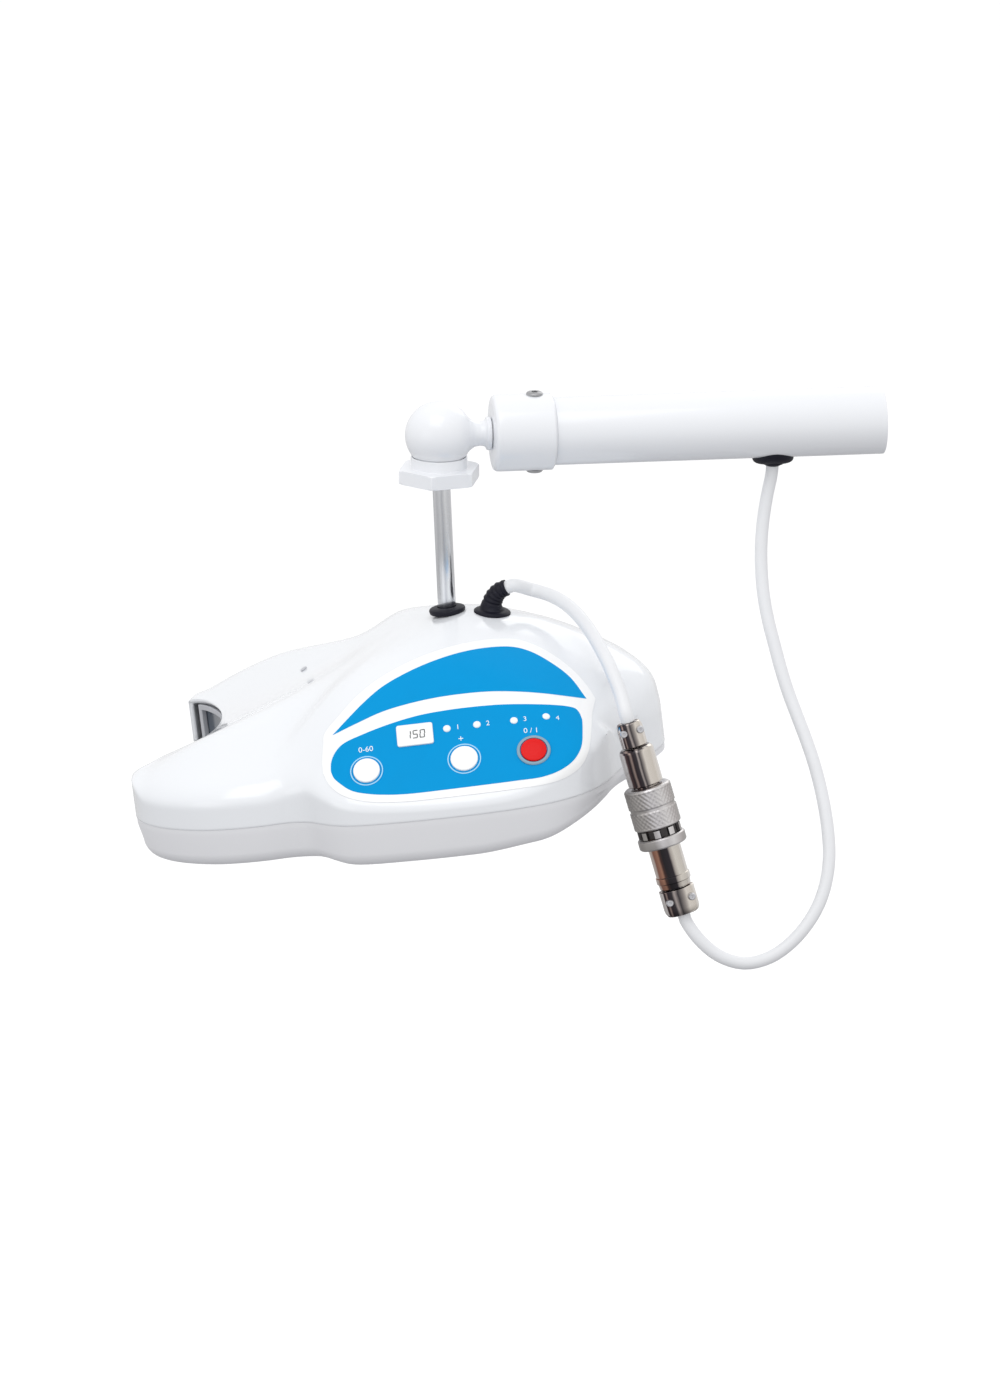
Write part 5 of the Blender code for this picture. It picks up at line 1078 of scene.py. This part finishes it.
cl = place("clamp_lower_skin", *clamp(-CON_LEN, -76.3, 7.7, 5.8, False), M["nickel"], T_CON, "drop_rod", ["cable_clamp_lower"], "nickel", smooth=30)
bevel(cl, 0.35, 2, 30)
for k, (x, z, hy) in enumerate([(-3.7, -3.9, 4.1), (3.7, -3.9, 4.1), (-5.0, -81.2, 4.9), (5.0, -81.2, 4.9)]):
    place(f"clamp_bolt_{k + 1}", *screw_on(x, z, hy, 1.7), M["steel"], T_CON, "drop_rod", [f"clamp_screw_{k + 1}"], "zinc_steel", smooth=35)


# ------------------------------------------------------------------ the two cables
def route(points_mm, count):
    p = np.vstack([[points_mm[0]], even(points_mm[1:-1], count - 2), [points_mm[-1]]])
    return even(catmull(p, 800), 96, curve=False)


def frames_along(q):
    """Unit tangents of a route, and a side direction carried along it without twist."""
    t = np.gradient(q, axis=0)
    t /= np.linalg.norm(t, axis=1, keepdims=True)
    u = [unit(np.cross(t[0], [0.3, 1.0, 0.2]))]
    for k in range(1, len(q)):
        u.append(unit(u[-1] - t[k] * (u[-1] @ t[k])))
    return t, np.array(u)


def cable(name, q, t, u, diameter, mat, replaces):
    """A round tube along q."""
    n, r = 24, diameter / 2
    v, f = [], []
    for p, a, b in zip(q, t, u):
        c = np.cross(a, b)
        v += [tuple((p + r * (cos(g) * b + sin(g) * c)) * MM) for g in np.linspace(0, 2 * pi, n + 1)[:-1]]
    for i in range(len(q) - 1):
        f += [(i * n + k, i * n + (k + 1) % n, (i + 1) * n + (k + 1) % n, (i + 1) * n + k) for k in range(n)]
    f += [tuple(range(n))[::-1], tuple(range((len(q) - 1) * n, len(q) * n))]
    me = bpy.data.meshes.new(name)
    me.from_pydata(v, [], f)
    me.shade_smooth()
    me.set_sharp_from_angle(angle=radians(50))
    me.materials.append(mat)
    ob = bpy.data.objects.new(name, me)
    bpy.context.scene.collection.objects.link(ob)
    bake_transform(ob)
    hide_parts(replaces)
    return ob, float(np.linalg.norm(np.diff(q, axis=0), axis=1).sum()) * MM


_a = CABLE_UP_START
CON_IN = CON_TOP + CON_Z * 0.4
CON_OUT = CON_BOTTOM - CON_Z * 0.4
UPPER_ROUTE = [_a, _a + CABLE_UP_DIR * 3.0, (-156.1, -6.1, -70.9), (-149.9, -12.9, -71.6), (-144.7, -21.2, -73.2), (-140.6, -31.0, -75.9), (-137.4, -41.5, -79.3), (-135.0, -52.5, -83.1), (-132.6, -64.5, -87.9), (-130.6, -74.5, -93.6), (-128.6, -82.8, -100.6), CON_IN + CON_Z * 3.0, CON_IN]
LOWER_ROUTE = [(-49.15, 0.0, -18.6), (-49.5, -0.3, -22.7), (-53.8, -6.4, -39.0), (-56.2, -13.5, -56.8), (-55.9, -23.1, -76.2), (-52.9, -33.1, -93.3), (-49.6, -42.3, -108.1), (-45.2, -52.2, -122.1), (-41.2, -61.4, -134.8), (-38.2, -71.2, -149.4), (-36.9, -81.7, -165.2), (-38.3, -90.6, -179.8), (-44.4, -98.4, -194.1), (-55.4, -104.4, -206.2), (-67.2, -107.5, -213.2), (-79.2, -108.2, -214.9), (-90.6, -106.8, -210.6), (-98.6, -104.0, -203.2), CON_OUT - CON_Z * 3.0, CON_OUT]
up_q, low_q = route(UPPER_ROUTE, 14), route(LOWER_ROUTE, 28)
up_t, up_u = frames_along(up_q)
low_t, low_u = frames_along(low_q)
# the head's cable runs from the head's strain relief to the connector, which swings with the rod
up_cable, up_len = cable("head_cable", up_q, up_t, up_u, 6.0, M["cable"], "upper_cable")
# the arm's cable crosses two joints; it is made as two runs that meet at one point of its route
CUT = int(np.argmin(np.linalg.norm(low_q - np.array([-55.9, -23.1, -76.2]), axis=1)))
run_1, len_1 = cable("arm_cable_run_1", low_q[:CUT + 1], low_t[:CUT + 1], low_u[:CUT + 1], 5.6, M["cable"], "lower_cable")
run_2, len_2 = cable("arm_cable_run_2", low_q[CUT:], low_t[CUT:], low_u[CUT:], 5.6, M["cable"], "lower_cable")
print("cable lengths", round(up_len, 4), round(len_1, 4), round(len_2, 4), round(len_1 + len_2, 4))

# ------------------------------------------------------------------ studio
def stage_plane(name, size, z, colour):
    bm = bmesh.new()
    bmesh.ops.create_grid(bm, x_segments=2, y_segments=2, size=size)
    me = bpy.data.meshes.new(name)
    bm.to_mesh(me)
    bm.free()
    ob = bpy.data.objects.new(name, me)
    ob.location = (0, 0, z)
    m = surface(name, colour, 0.8, tint=0.004, tint_scale=3)
    m.node_tree.nodes["Principled BSDF"].inputs["Emission Color"].default_value = (1, 1, 1, 1)
    m.node_tree.nodes["Principled BSDF"].inputs["Emission Strength"].default_value = 0.1
    me.materials.append(m)
    bpy.context.scene.collection.objects.link(ob)
    ob.visible_diffuse = False
    ob.visible_glossy = False
    return ob


stage_plane("studio_floor", 12.0, -0.62, (0.96, 0.96, 0.96))
world = bpy.data.worlds.new("studio")
bpy.context.scene.world = world
world.use_nodes = True
wn = world.node_tree
bg = wn.nodes["Background"]
bg.inputs["Strength"].default_value = 1.0
wc = wn.nodes.new("ShaderNodeTexCoord")
wx = wn.nodes.new("ShaderNodeSeparateXYZ")
wn.links.new(wc.outputs["Generated"], wx.inputs["Vector"])
wr = wn.nodes.new("ShaderNodeMapRange")
wr.inputs["From Min"].default_value = -1.0
wr.inputs["From Max"].default_value = 1.0
wn.links.new(wx.outputs["Z"], wr.inputs["Value"])
wramp = wn.nodes.new("ShaderNodeValToRGB")
wn.links.new(wr.outputs["Result"], wramp.inputs["Fac"])
wn.links.new(wramp.outputs["Color"], bg.inputs["Color"])
we = wramp.color_ramp.elements
we[0].position, we[0].color = 0.0, (0.36, 0.36, 0.38, 1)
we[1].position, we[1].color = 1.0, (1.0, 1.0, 1.0, 1)
for pos, val in ((0.25, 0.52), (0.42, 0.80), (0.5, 0.92)):
    e = we.new(pos)
    e.color = (val, val, val * 1.01, 1)


def area(name, loc, target, size, power, colour=(1, 1, 1), size_y=None):
    li = bpy.data.lights.new(name, "AREA")
    li.energy = power
    li.color = colour
    li.size = size
    if size_y:
        li.shape = "RECTANGLE"
        li.size_y = size_y
    ob = bpy.data.objects.new(name, li)
    bpy.context.scene.collection.objects.link(ob)
    ob.location = loc
    d = Vector(target) - Vector(loc)
    ob.rotation_euler = d.to_track_quat("-Z", "Y").to_euler()
    return ob


CENTRE = (-0.19, 0.0, -0.11)
area("key_above", (-0.45, -0.55, 1.1), CENTRE, 0.9, 3.4)
area("fill_left", (-1.4, -0.9, 0.25), CENTRE, 0.8, 0.9)
area("rim_back", (0.5, 1.1, 0.7), CENTRE, 0.9, 2.0)
